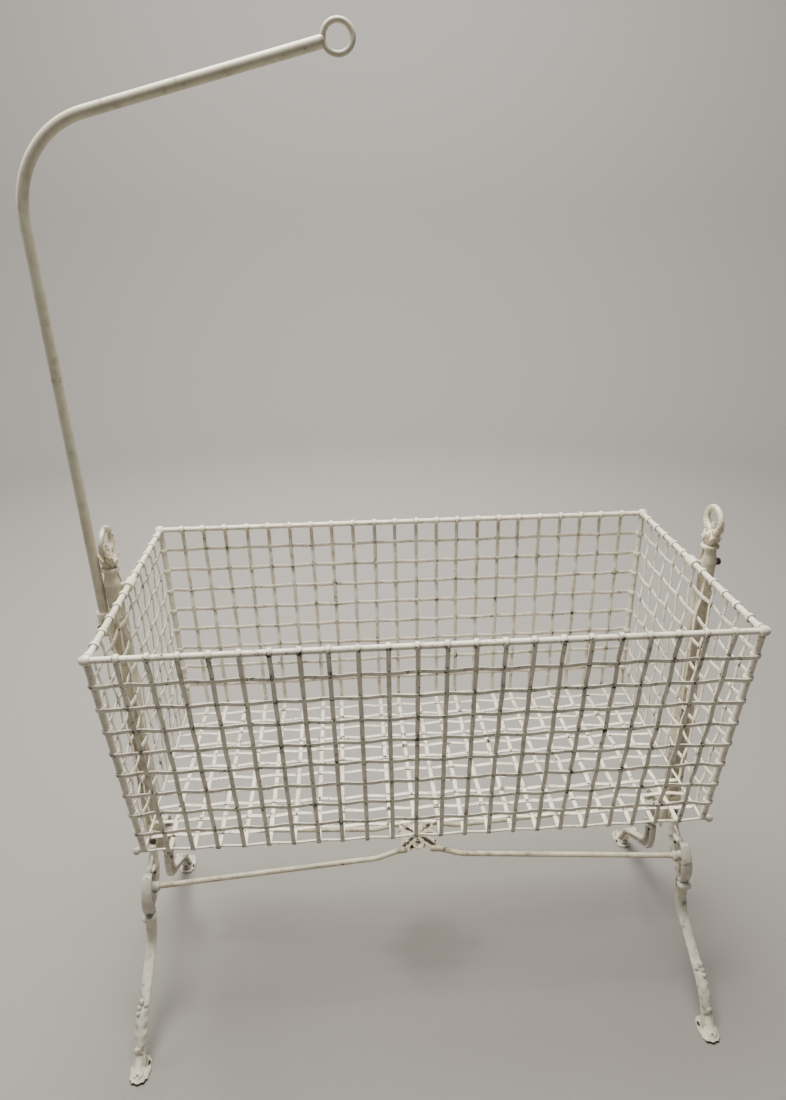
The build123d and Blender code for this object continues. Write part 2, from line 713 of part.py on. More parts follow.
def pole_socket():
    """The cup that holds the pole's foot, with the plate that screws to the post."""
    foot = pole_foot - pole_up * (socket_floor + contact_gap)
    mouth = pole_foot + pole_up * socket_depth
    cup = round_bar(foot, mouth, socket_radius)
    plate_top = mouth.Z - 3
    plate_foot = pole_foot.Z - socket_plate_drop
    plate_x = -(post_outer_x + contact_gap + socket_plate_thickness / 2)
    body = cup + Pos(plate_x, 0, (plate_top + plate_foot) / 2) * Box(
        socket_plate_thickness, socket_plate_width, plate_top - plate_foot
    )
    # The post's outer face trims the cup.
    body -= Pos(-post_x, 0, pole_foot.Z) * Box(post_size + 2 * contact_gap, 60, 200)
    body = bored(
        body, pole_foot - pole_up * contact_gap, mouth + pole_up * 5, pole_radius + socket_running_gap
    )
    for drop in socket_screw_drops:
        z = pole_foot.Z - drop
        body = bored(body, (-post_x - 60, 0, z), (-post_x, 0, z), socket_screw_radius + socket_screw_gap)
    z = pole_foot.Z + clamp_screw_rise
    at = (pole_at(z).X, 0, z)
    body = bored(body, (at[0], -40, z), at, clamp_screw_radius + socket_screw_gap)
    return body.solid()


def pole_at(z):
    """The point on the shank's axis at a height."""
    return pole_foot + pole_up * ((z - pole_foot.Z) / pole_up.Z)


def socket_screws():
    """The two screws that hold the socket's plate on the left-hand post."""
    screws = []
    outer = post_outer_x + contact_gap + socket_plate_thickness + contact_gap
    for drop in socket_screw_drops:
        z = pole_foot.Z - drop
        tip = post_outer_x - socket_screw_depth + contact_gap
        shank = round_bar((-outer, 0, z), (-tip, 0, z), socket_screw_radius)
        head_end = outer + socket_screw_head_length
        head = round_bar((-head_end, 0, z), (-outer, 0, z), socket_screw_head_radius)
        head = fillet(head.edges().filter_by(GeomType.CIRCLE).group_by(Axis.X)[0], 1.5)
        screws.append((shank + head).solid())
    return screws


def clamp_screw():
    """The square-headed screw that bears on the pole's foot."""
    z = pole_foot.Z + clamp_screw_rise
    x = pole_at(z).X
    tip = -(pole_radius + contact_gap)
    body = round_bar((x, tip - clamp_screw_length, z), (x, tip, z), clamp_screw_radius)
    head_y = tip - clamp_screw_length - clamp_screw_head_length / 2
    body += Pos(x, head_y, z) * Box(
        clamp_screw_head_size, clamp_screw_head_length, clamp_screw_head_size
    )
    return body.solid()


left_post = mirror(right_post, about=across)
for drop in socket_screw_drops:
    z = pole_foot.Z - drop
    tip_x = -(post_outer_x - socket_screw_depth)
    left_post = bored(
        left_post, (-post_x - 60, 0, z), (tip_x, 0, z), socket_screw_radius + socket_screw_gap
    )
save("left_post", [left_post.solid()])
save("pole_socket", [pole_socket()])
save("pole_socket_screws", socket_screws())
save("pole_clamp_screw", [clamp_screw()])
save("canopy_pole_tube", [pole_tube()])
save("canopy_pole_ring", [ring(ring_wire_radius).solid()])

print("centre shift", round(centre_shift, 3))
print("pivot at", (round(centre_shift, 3), 0, pivot_height))
print("pole foot at", round(pole_foot.X + centre_shift, 3), pole_foot.Z, "leaning", pole_lean)
print("ring at", round(ring_middle.X + centre_shift, 3), round(ring_middle.Z, 3))
print("finial top", finial_height, "knee collar out", round(collar_out, 1), "drop", round(leg_drop, 1))
print("foot at", round(foot_x, 2), foot_out, "shifted", round(foot_x + centre_shift, 2))
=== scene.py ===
"""Looks of a swinging wire cradle on a cast stand with a canopy pole.

Everything is in metres in the row frame: +X along the cradle, +Y to the rear, +Z up.
New pieces are numpy surfaces on grids of two parameters, laid around the fixed CAD frame.
"""

from __future__ import annotations

import logging
import math
from dataclasses import dataclass, field
from enum import Enum
from typing import Sequence

import bmesh
import bpy
import numpy as np
from mathutils import Matrix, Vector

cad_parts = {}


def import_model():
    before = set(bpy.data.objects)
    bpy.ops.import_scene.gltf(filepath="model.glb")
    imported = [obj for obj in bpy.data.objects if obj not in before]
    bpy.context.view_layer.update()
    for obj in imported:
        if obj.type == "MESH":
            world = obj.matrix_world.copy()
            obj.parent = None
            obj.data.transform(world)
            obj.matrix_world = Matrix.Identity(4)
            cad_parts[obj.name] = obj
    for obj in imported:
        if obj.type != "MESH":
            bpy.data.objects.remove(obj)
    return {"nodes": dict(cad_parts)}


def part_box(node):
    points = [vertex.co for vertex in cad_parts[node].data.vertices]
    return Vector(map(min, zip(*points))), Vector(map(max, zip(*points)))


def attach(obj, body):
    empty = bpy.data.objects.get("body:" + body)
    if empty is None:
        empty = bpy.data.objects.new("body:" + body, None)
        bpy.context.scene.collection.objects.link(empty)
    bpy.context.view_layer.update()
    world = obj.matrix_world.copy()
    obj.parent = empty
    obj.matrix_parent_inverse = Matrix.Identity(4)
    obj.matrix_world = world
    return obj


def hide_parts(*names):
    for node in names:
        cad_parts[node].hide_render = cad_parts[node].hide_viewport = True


log = logging.getLogger("cradle")

Array = np.ndarray
Colour = tuple[float, float, float]
Point = tuple[float, float, float]

MM = 0.001
CURL = math.radians(300.0)  # how far a strip's end wraps round a rod
CAP_ANGLE = 0.06  # left open at each pole of a pebble, where its cap goes
WELD = 2e-6  # vertices of a CAD mesh nearer than this are one
FLAT = math.radians(0.6)  # faces that meet at less than this are one
SHARP = math.radians(32.0)  # edges sharper than this are rounded
X_AXIS = np.array([1.0, 0.0, 0.0])
Y_AXIS = np.array([0.0, 1.0, 0.0])
Z_AXIS = np.array([0.0, 0.0, 1.0])


class Body(Enum):
    """The rigid bodies that pieces ride on."""

    STAND = "stand"
    BASKET = "basket"
    POLE = "canopy_pole"


class Side(Enum):
    """Front or rear of the cradle, with its sign along Y."""

    FRONT = -1
    REAR = 1

    @property
    def word(self) -> str:
        """The side's name in lower case."""
        return self.name.lower()


class End(Enum):
    """Left or right end of the cradle, with its sign along X."""

    LEFT = -1
    RIGHT = 1

    @property
    def word(self) -> str:
        """The end's name in lower case."""
        return self.name.lower()


# ---------------------------------------------------------------- surfaces


def unit(vectors: Array) -> Array:
    """Vectors divided by their lengths, along the last axis."""
    return vectors / np.maximum(np.linalg.norm(vectors, axis=-1, keepdims=True), 1e-12)


def ease(share: Array) -> Array:
    """Smooth step 3t^2 - 2t^3 of a share clipped to 0..1."""
    t = np.clip(share, 0.0, 1.0)
    return t * t * (3.0 - 2.0 * t)


def bump_at(value: Array, centre: float, width: float) -> Array:
    """Bell exp(-((v - c) / w)^2)."""
    return np.exp(-(((value - centre) / width) ** 2))


def signed_power(value: Array, power: float) -> Array:
    """A value's size raised to a power, with the value's sign."""
    return np.sign(value) * np.abs(value) ** power


def ring_angles(count: int) -> Array:
    """Even angles round a section, half a step off the axes."""
    return (np.arange(count) + 0.5) * 2.0 * math.pi / count


def soft_box(width: float, depth: float, power: float, count: int) -> Array:
    """Closed profile of a box with rounded corners.

    Superellipse x = w/2 sgn(cos v) |cos v|^(2/p), y = d/2 sgn(sin v) |sin v|^(2/p).

    Args:
        width: Full size along x.
        depth: Full size along y.
        power: 2 gives an ellipse, more gives squarer corners.
        count: Number of points.

    Returns:
        Points (count, 2), counter-clockwise.
    """
    v = ring_angles(count)
    x = signed_power(np.cos(v), 2.0 / power)
    y = signed_power(np.sin(v), 2.0 / power)
    return np.stack([x * width / 2.0, y * depth / 2.0], -1)


def sweep(path: Array, across: Array, profile: Array) -> Array:
    """Carry a closed profile along one or more paths.

    p(s, v) = c(s) + a(s) x(v) + b(s) y(v), where t is the path's direction, a is the across
    direction made square to t, and b = t x a.

    Args:
        path: Points (..., n, 3).
        across: The profile's x direction, (3,) or (..., n, 3).
        profile: (m, 2), or (n, m, 2) where it changes along the path.

    Returns:
        Grid (..., n, m, 3).
    """
    tangent = unit(np.gradient(path, axis=-2))
    across = np.broadcast_to(across, path.shape)
    across = unit(across - tangent * np.sum(across * tangent, -1, keepdims=True))
    normal = np.cross(tangent, across)
    x = profile[..., 0][..., None]
    y = profile[..., 1][..., None]
    return path[..., None, :] + across[..., None, :] * x + normal[..., None, :] * y


def turned(radii: Sequence[float], heights: Sequence[float], count: int = 32) -> Array:
    """Surface of revolution about Z: p(i, v) = (r_i cos v, r_i sin v, z_i).

    Args:
        radii: Radius of each ring.
        heights: Height of each ring.
        count: Points round each ring.

    Returns:
        Grid (n, count, 3).
    """
    v = np.arange(count) * 2.0 * math.pi / count
    r = np.asarray(radii, float)[:, None]
    z = np.broadcast_to(np.asarray(heights, float)[:, None], (len(r), count))
    return np.stack([r * np.cos(v), r * np.sin(v), z], -1)


def pebble(centre: Sequence[float], radii: Sequence[float], power: float, rows: int = 10) -> Array:
    """A rounded block: p = c + R (|cos a|^q cos' v, |cos a|^q sin' v, sin' a), q = 2/power.

    Args:
        centre: Middle point.
        radii: Half sizes along X, Y and Z.
        power: 2 gives an ellipsoid, more gives a squarer block.
        rows: Rings from pole to pole.

    Returns:
        Grid (rows, 2 * rows, 3).
    """
    top, q = math.pi / 2 - CAP_ANGLE, 2.0 / power
    a = np.linspace(-top, top, rows)[:, None]
    v = np.arange(2 * rows)[None, :] * math.pi / rows
    reach = signed_power(np.cos(a), q)
    x = reach * signed_power(np.cos(v), q)
    y = reach * signed_power(np.sin(v), q)
    z = signed_power(np.sin(a), q) * np.ones_like(v)
    return np.asarray(centre) + np.stack([x, y, z], -1) * np.asarray(radii)


def leaf(
    path: Array,
    across: Array,
    half_width: float,
    thickness: float,
    lobes: float,
    fullest: float = 0.45,
    tip: float = 0.12,
) -> tuple[Array, Array]:
    """A cast acanthus leaf along a path, with scalloped edges, a midrib and slanted veins.

    Half width w(u) = W (tip + (1 - tip) sin(pi u^k)) (1 - 0.16 |sin(pi L u)|), with k set so
    that the leaf is widest at the share given. Its upper face is raised by the midrib
    exp(-(x/0.2w)^2) and lowered by veins cos^2(pi (L u + 0.7 |x|/w)).

    Args:
        path: Midline points (n, 3).
        across: Direction of the leaf's width.
        half_width: Largest half width W.
        thickness: Thickness at the midrib.
        lobes: Number of scallops L on each edge.
        fullest: Share of the length where the leaf is widest.
        tip: Half width at both ends as a share of W.

    Returns:
        Grid (n, 16, 3), and the depth of its grooves as a mask (n, 16).
    """
    u = np.linspace(0.0, 1.0, len(path))[:, None]
    v = ring_angles(16)[None, :]
    k = math.log(0.5) / math.log(fullest)
    body = tip + (1.0 - tip) * np.sin(math.pi * np.clip(u, 0, 1) ** k)
    half = half_width * body * (1.0 - 0.16 * np.abs(np.sin(math.pi * lobes * u)))
    side = signed_power(np.cos(v), 0.8)
    top = np.clip(np.sin(v), 0.0, 1.0)
    vein = np.cos(math.pi * (lobes * u + 0.7 * np.abs(side))) ** 2 * top * np.abs(side)
    rib = np.exp(-((side / 0.2) ** 2)) * top
    rise = np.sin(v) * (0.42 + 0.25 * body) + 0.3 * rib - 0.35 * vein
    profile = np.stack([side * half, rise * thickness * np.ones_like(u)], -1)
    # The groove mask marks the veins, where callers paint shade, with soiling.
    return sweep(path, across, profile), np.clip(vein * 1.3 - rib, 0.0, 1.0)


def heading_path(start: Sequence[float], headings: Array, length: float) -> Array:
    """Plane curve with a given heading at each step.

    p(s) = start + integral of (cos h(s), sin h(s)) ds.

    Args:
        start: First point (out, up).
        headings: Heading in radians at even steps.
        length: Length of the whole curve.

    Returns:
        Points (n, 2).
    """
    step = length / (len(headings) - 1)
    middle = (headings[1:] + headings[:-1]) / 2.0
    moves = np.stack([np.cos(middle), np.sin(middle)], -1) * step
    return np.asarray(start) + np.concatenate([np.zeros((1, 2)), np.cumsum(moves, 0)])


def bent_line(start: Array, pull: Array, end: Array, count: int) -> Array:
    """Quadratic curve (1 - t)^2 a + 2 t (1 - t) b + t^2 c.

    Args:
        start: First point a (out, up).
        pull: Point b that the curve bends towards.
        end: Last point c.
        count: Number of points.

    Returns:
        Points (count, 2).
    """
    t = np.linspace(0.0, 1.0, count)[:, None]
    return (1 - t) ** 2 * start + 2 * t * (1 - t) * pull + t**2 * end


def beside(curve: Array, distance: float) -> Array:
    """A plane curve moved to its left by a distance."""
    way = unit(np.gradient(curve, axis=0))
    return curve + np.stack([-way[:, 1], way[:, 0]], -1) * distance


def mirrored(half: Array) -> Array:
    """A closed profile, from its right-hand half in millimetres."""
    return np.concatenate([half, half[-2:0:-1] * (-1.0, 1.0)]) * MM


@dataclass
class Shell:
    """One or more like closed surfaces, with masks for their finish and for painted shade.

    Attributes:
        points: Grid (n, m, 3) or (k, n, m, 3); m closes on itself, and n ends in caps.
        crossing: 0 to 1 where strips cross and enamel chips.
        crevice_shade_and_dirt: 0 to 1 in hollows and joins, where painted shade and soiling darken
            the enamel.
        bare: 0 to 1 where the enamel is lost, and also where the shade inside a hole or hollow is
            painted as dark iron.
        looped: True where n closes on itself too.
    """

    points: Array
    crossing: Array | float = 0.0
    crevice_shade_and_dirt: Array | float = 0.0
    looped: bool = False
    bare: Array | float = 0.0

    def batch(self) -> Array:
        """The points as (k, n, m, 3)."""
        return self.points if self.points.ndim == 4 else self.points[None]

    def outward(self) -> Array:
        """True for each surface whose grid order makes its faces point outwards.

        The signed volume is the sum of a . (b x c) over the quads' triangles and the caps'.

        Returns:
            Booleans (k,).
        """
        grid = self.batch()
        grid = grid - grid.mean((1, 2), keepdims=True)
        after = np.roll(grid, -1, axis=2)
        if self.looped:
            here, there, low, high = grid, after, np.roll(grid, -1, 1), np.roll(after, -1, 1)
        else:
            here, there, low, high = grid[:, :-1], after[:, :-1], grid[:, 1:], after[:, 1:]
        total = np.einsum("knmi,knmi->k", here, np.cross(there, high))
        total += np.einsum("knmi,knmi->k", here, np.cross(high, low))
        if not self.looped:
            for row, sign in ((0, -1.0), (-1, 1.0)):
                hub = grid[:, row].mean(1, keepdims=True)
                turn = np.cross(grid[:, row], after[:, row])
                total += sign * np.einsum("kmi,kmi->k", np.broadcast_to(hub, turn.shape), turn)
        return total > 0.0

    def faces(self, offset: int) -> list[list[int]]:
        """Quads and caps as vertex numbers.

        Args:
            offset: Number of the first vertex.

        Returns:
            One list of vertex numbers for each face.
        """
        k, n, m = self.batch().shape[:3]
        index = np.arange(k * n * m).reshape(k, n, m) + offset
        after = np.roll(index, -1, axis=2)
        if self.looped:
            quads = np.stack([index, after, np.roll(after, -1, 1), np.roll(index, -1, 1)], -1)
        else:
            quads = np.stack([index[:, :-1], after[:, :-1], after[:, 1:], index[:, 1:]], -1)
        good = self.outward()[:, None, None, None]
        quads = np.where(good, quads, quads[..., ::-1])
        made = quads.reshape(-1, 4).tolist()
        if not self.looped:
            flip = good[:, 0, 0]
            made += np.where(flip, index[:, 0, ::-1], index[:, 0]).tolist()
            made += np.where(flip, index[:, -1], index[:, -1, ::-1]).tolist()
        return made


def put(name: str, data: bpy.types.ID) -> bpy.types.Object:
    """A new object with the data given, linked to the scene."""
    made = bpy.data.objects.new(name, data)
    bpy.context.scene.collection.objects.link(made)
    return made


def smooth(mesh: bpy.types.Mesh) -> None:
    """Shade all faces of a mesh smooth."""
    mesh.polygons.foreach_set("use_smooth", np.ones(len(mesh.polygons), bool))


def pose(axes: Sequence[Array], place: Sequence[float]) -> Matrix:
    """The matrix of an object with the axes and place given."""
    turn = Matrix(np.stack(axes, 1).tolist()).to_4x4()
    turn.translation = list(place)
    return turn


def lay_shells(name: str, shells: Sequence[Shell]) -> bpy.types.Object:
    """Make one mesh object of several shells.

    Args:
        name: The piece's name.
        shells: Its surfaces.

    Returns:
        The object, linked to the scene.
    """
    points, faces, count = [], [], 0
    masks = {"crossing": [], "crevice_shade_and_dirt": [], "bare": []}
    for shell in shells:
        grid = shell.batch()
        faces += shell.faces(count)
        points.append(grid.reshape(-1, 3))
        for word, rows in masks.items():
            rows.append(np.broadcast_to(getattr(shell, word), grid.shape[:3]).reshape(-1))
        count += grid.shape[0] * grid.shape[1] * grid.shape[2]
    mesh = bpy.data.meshes.new(name)
    mesh.from_pydata(np.concatenate(points).tolist(), [], faces)
    for word, rows in masks.items():
        layer = mesh.attributes.new(word, "FLOAT", "POINT")
        layer.data.foreach_set("value", np.concatenate(rows).astype(np.float32))
    smooth(mesh)
    mesh.update()
    return put(name, mesh)


def softened(name: str, node: str, width: float) -> bpy.types.Object:
    """A copy of a CAD node with its corners rounded as a casting's are.

    Args:
        name: The piece's name.
        node: The CAD node that it stands for.
        width: Size of the rounding.

    Returns:
        The new object.
    """
    mesh = bpy.data.meshes.new(name)
    work = bmesh.new()
    work.from_mesh(frame_nodes[node].data)
    bmesh.ops.remove_doubles(work, verts=work.verts, dist=WELD)
    bmesh.ops.dissolve_limit(work, angle_limit=FLAT, verts=work.verts, edges=work.edges)
    work.to_mesh(mesh)
    work.free()
    smooth(mesh)
    piece = put(name, mesh)
    bevel = piece.modifiers.new("rounding", "BEVEL")
    bevel.width = width
    bevel.segments = 2
    bevel.limit_method = "ANGLE"
    bevel.angle_limit = SHARP
    bevel.harden_normals = True
    return piece


frame_nodes: dict[str, bpy.types.Object] = {}


# ---------------------------------------------------------------- finishes


class Graph:
    """Short hand for building one node tree."""

    def __init__(self, tree: bpy.types.NodeTree) -> None:
        """Start on an empty tree.

        Args:
            tree: The tree to fill.
        """
        self.tree = tree
        tree.nodes.clear()

    def add(self, kind: str, values: dict | None = None, **settings: object) -> bpy.types.Node:
        """Add a node.

        Args:
            kind: The node's type without its ShaderNode prefix, or its whole type.
            values: Socket name or number to a value or to another node's output.
            settings: Properties of the node.

        Returns:
            The node.
        """
        whole = kind if kind.startswith("Node") else "ShaderNode" + kind
        node = self.tree.nodes.new(whole)
        for word, value in settings.items():
            setattr(node, word, value)
        for socket, value in (values or {}).items():
            target = node.inputs[socket]
            if isinstance(value, bpy.types.NodeSocket):
                self.tree.links.new(value, target)
            else:
                target.default_value = value
        return node

    def math(self, operation: str, first: object, second: object = 0.0) -> bpy.types.NodeSocket:
        """A math node's output."""
        return self.add("Math", {0: first, 1: second}, operation=operation).outputs[0]

    def times(self, first: object, second: object) -> bpy.types.NodeSocket:
        """The product of two values."""
        return self.math("MULTIPLY", first, second)

    def plus(self, first: object, second: object) -> bpy.types.NodeSocket:
        """The sum of two values."""
        return self.math("ADD", first, second)

    def band(self, value: object, low: object, high: object) -> bpy.types.NodeSocket:
        """Value taken from the range low..high to 0..1, with soft ends."""
        node = self.add("MapRange", {0: value, 1: low, 2: high}, interpolation_type="SMOOTHSTEP")
        return node.outputs[0]

    def mix(self, factor: object, first: object, second: object) -> bpy.types.NodeSocket:
        """Mix of two colours."""
        node = self.add("Mix", {0: factor, 6: first, 7: second}, data_type="RGBA")
        return node.outputs[2]

    def noise(self, vector: object, scale: object, detail: float = 3.0) -> bpy.types.NodeSocket:
        """A noise texture's value."""
        values = {"Vector": vector, "Scale": scale, "Detail": detail, "Roughness": 0.6}
        return self.add("TexNoise", values).outputs["Fac"]


def new_group(name: str, inputs: Sequence[tuple], outputs: Sequence[tuple]) -> bpy.types.NodeTree:
    """An empty shader node group with named sockets.

    Args:
        name: The group's name.
        inputs: Pairs of socket name and kind: Float, Color or Vector.
        outputs: The same.

    Returns:
        The group's tree.
    """
    tree = bpy.data.node_groups.new(name, "ShaderNodeTree")
    for way, sockets in (("INPUT", inputs), ("OUTPUT", outputs)):
        for word, kind in sockets:
            tree.interface.new_socket(word, in_out=way, socket_type="NodeSocket" + kind)
    return tree


# Noise scales of the chips, soiling and painted shade, per metre
BROAD, MOTTLE, SKIN, FLAKE, SPECK = 9.0, 70.0, 210.0, 330.0, 900.0
CROSSING_BIAS, CREVICE_BIAS = 0.145, 0.05
CHIP_LEVEL, RUST_RIM = 0.86, 0.045


def enamel_wear_and_shade_group() -> bpy.types.NodeTree:
    """Old enamel on iron: mottling, soiling and painted shade in the crevices, chips at the
    crossings, rust rims.

    Chip = flake + 0.12 speck + 0.5 (mottle - 0.5) + crossing and crevice biases, cut off at a
    level that the chip amount lowers; just below that level the enamel is rusty. Where the
    bare mask is high the enamel is lost, and that mask also paints the shade inside holes as
    dark iron. Dirt = crevice mask and broad noise, so it is shade painted into the crevices as
    well as soiling. Height falls inside chips.

    Returns:
        The group, with outputs Color, Roughness, Metallic and Height.
    """
    inputs = [
        ("Vector", "Vector"), ("Paint", "Color"), ("Shade", "Color"), ("Grime", "Color"),
        ("Rust", "Color"), ("Iron", "Color"), ("Chips", "Float"), ("Dirt_And_Shade", "Float"),
        ("Crossing", "Float"), ("Crevice_Shade_And_Dirt", "Float"), ("Bare", "Float"), ("Gloss", "Float"),
    ]
    outputs = [
        ("Color", "Color"), ("Roughness", "Float"), ("Metallic", "Float"), ("Height", "Float"),
    ]
    tree = new_group("enamel_wear", inputs, outputs)
    g = Graph(tree)
    given = g.add("NodeGroupInput").outputs
    place = given["Vector"]
    broad = g.noise(place, BROAD, 4.0)
    mottle = g.noise(place, MOTTLE, 4.0)
    flake = g.noise(place, FLAKE, 5.0)
    speck = g.noise(place, SPECK, 2.0)
    swing = g.math("SUBTRACT", mottle, 0.5)
    tone = g.plus(g.times(broad, 0.6), g.times(mottle, 0.5))
    painted = g.mix(g.band(tone, 0.42, 0.7), given["Paint"], given["Shade"])
    # Painted shade: the crevice mask darkens hollows and joins, together with noise smears of real
    # soiling.
    recess = g.times(given["Crevice_Shade_And_Dirt"], g.band(mottle, 0.3, 0.6))
    smear = g.times(g.band(mottle, 0.56, 0.74), g.band(broad, 0.45, 0.6))
    dirt_and_shade = g.times(g.math("MAXIMUM", recess, smear), given["Dirt_And_Shade"])
    dirty_and_shaded = g.mix(dirt_and_shade, painted, given["Grime"])
    bias = g.plus(
        g.times(given["Crossing"], CROSSING_BIAS), g.times(given["Crevice_Shade_And_Dirt"], CREVICE_BIAS)
    )
    lift = g.plus(g.plus(flake, g.times(speck, 0.12)), bias)
    level = g.math("SUBTRACT", CHIP_LEVEL, g.times(given["Chips"], 0.2))
    patchy = g.plus(lift, g.times(swing, 0.5))
    rust = g.band(patchy, g.math("SUBTRACT", level, RUST_RIM), level)
    chip = g.band(patchy, level, g.plus(level, 0.02))
    lost_and_shaded = g.plus(given["Bare"], g.times(swing, 0.9))
    # The bare mask also paints the shade inside holes and hollows as dark iron.
    chip = g.math("MAXIMUM", chip, g.band(lost_and_shaded, 0.42, 0.56))
    rusty = g.mix(g.times(rust, 0.75), dirty_and_shaded, given["Rust"])
    colour = g.mix(chip, rusty, given["Iron"])
    rough = g.plus(given["Gloss"], g.times(dirt_and_shade, 0.25))
    rough = g.plus(rough, g.times(chip, 0.22))
    rough = g.plus(rough, g.times(swing, 0.25))
    skin = g.times(g.noise(place, SKIN, 2.0), 0.35)
    height = g.math("SUBTRACT", skin, g.times(chip, 0.6))
    g.add("NodeGroupOutput", {
        "Color": colour, "Roughness": rough, "Metallic": g.times(chip, 0.35), "Height": height,
    })
    return tree


@dataclass(frozen=True)
class Enamel:
    """Worn enamel on iron.

    Attributes:
        name: The material's name.
        slot: The record's material slot; not used.
        paint: Clean enamel.
        shade: Enamel in its darker patches.
        chips: 0 none to 1 many.
        dirt_and_shade: 0 clean to 1 grimy, for soiling and for the shade painted into crevices.
        gloss: Roughness of sound enamel.
        grime: Colour of soiling, and of the shade painted into crevices.
        rust: Colour of a chip's rim.
        iron: Colour inside a chip.
        relief: Depth of the bump.
        coat: Weight of the clear coat.
        coat_rough: Roughness of the clear coat.
    """

    name: str
    slot: str
    paint: Colour
    shade: Colour
    chips: float
    dirt_and_shade: float
    gloss: float = 0.42
    grime: Colour = (0.12, 0.085, 0.05)
    rust: Colour = (0.13, 0.055, 0.022)
    iron: Colour = (0.022, 0.018, 0.016)
    relief: float = 0.6 * MM
    coat: float = 0.12
    coat_rough: float = 0.35

    def build(self) -> bpy.types.Material:
        """Make the material.

        Returns:
            A material with one Principled shader fed by the shared group.
        """
        made = bpy.data.materials.new(self.name)
        made.use_nodes = True
        g = Graph(made.node_tree)
        values = {
            word.title(): g.add("Attribute", attribute_name=word).outputs["Fac"]
            for word in ("crossing", "crevice_shade_and_dirt", "bare")
        }
        for word in ("paint", "shade", "grime", "rust", "iron"):
            values[word.title()] = (*getattr(self, word), 1.0)
        for word in ("chips", "dirt_and_shade", "gloss"):
            values[word.title()] = getattr(self, word)
        values["Vector"] = g.add("TexCoord").outputs["Object"]
        wear_and_shade = g.add("Group", values, node_tree=groups["enamel_wear"]).outputs
        bump = g.add("Bump", {
            "Height": wear_and_shade["Height"], "Strength": 0.55, "Distance": self.relief,
        })
        shader = g.add("BsdfPrincipled", {
            "Base Color": wear_and_shade["Color"], "Roughness": wear_and_shade["Roughness"],
            "Metallic": wear_and_shade["Metallic"], "Normal": bump.outputs["Normal"],
            "Coat Weight": self.coat, "Coat Roughness": self.coat_rough,
        })
        g.add("OutputMaterial", {"Surface": shader.outputs[0]})
        return made


groups: dict[str, bpy.types.NodeTree] = {}


class Finish(Enum):
    """The cradle's finishes."""

    BASKET = Enamel(
        "basket_enamel", "basket_paint", (0.79, 0.735, 0.60), (0.62, 0.575, 0.47), 0.64, 0.55
    )
    STAND = Enamel(
        "stand_enamel", "stand_paint", (0.74, 0.675, 0.51), (0.46, 0.41, 0.295), 0.5, 1.0
    )
    LEG = Enamel(
        "leg_enamel", "leg_paint", (0.75, 0.69, 0.54), (0.50, 0.49, 0.43), 0.46, 1.0
    )
    POLE = Enamel(
        "pole_enamel", "pole_paint", (0.64, 0.60, 0.465), (0.52, 0.48, 0.36), 0.3, 0.5
    )
    IRON = Enamel(
        "rusty_iron", "bare_iron", (0.05, 0.042, 0.036), (0.09, 0.05, 0.03), 0.3, 0.5, gloss=0.6
    )


class Dresser:
    """Gives pieces their finish and body, and reports them."""

    def __init__(self) -> None:
        """Build the shared group and every finish."""
        groups["enamel_wear"] = enamel_wear_and_shade_group()
        self.materials = {finish: finish.value.build() for finish in Finish}

    def paint(self, piece: bpy.types.Object, finish: Finish) -> None:
        """Put one finish in the piece's only material slot."""
        if not piece.material_slots:
            piece.data.materials.append(self.materials[finish])
        for index in range(len(piece.material_slots)):
            piece.material_slots[index].link = "OBJECT"
            piece.material_slots[index].material = self.materials[finish]

    def dress(
        self,
        piece: bpy.types.Object,
        finish: Finish,
        body: Body,
        replaces: Sequence[str] = (),
    ) -> None:
        """Finish a new piece and fix it to its body.

        Args:
            piece: The new piece.
            finish: Its finish.
            body: The body that it rides on.
            replaces: CAD nodes that it stands for.
        """
        piece.data.materials.append(self.materials[finish])
        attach(piece, body.value)
        if replaces:
            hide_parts(*replaces)
        log.info("%s: %d faces on %s", piece.name, len(piece.data.polygons), body.value)

    def keep(self, node: str, finish: Finish) -> None:
        """Show a CAD node as it is, in a finish."""
        self.paint(frame_nodes[node], finish)
        log.info("%s kept in %s", node, finish.value.name)


# ---------------------------------------------------------------- basket


def middle(node: str) -> Array:
    """The centre of a CAD node's box."""
    low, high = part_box(node)
    return (np.array(low) + np.array(high)) / 2.0


@dataclass
class Panel:
    """One sloping side of the basket.

    Attributes:
        name: The side's word in the CAD nodes' names.
        outward: Level direction out of the basket.
        along: Direction of its level strips.
        reach_top: From the basket's middle out to the rim rod.
        reach_bottom: From the middle out to the bottom rod.
        half_top: Half its length at the rim.
        half_bottom: Half its length at the bottom.
        bays: Cells along it.
    """

    name: str
    outward: Array
    along: Array
    reach_top: float
    reach_bottom: float
    half_top: float
    half_bottom: float
    bays: int


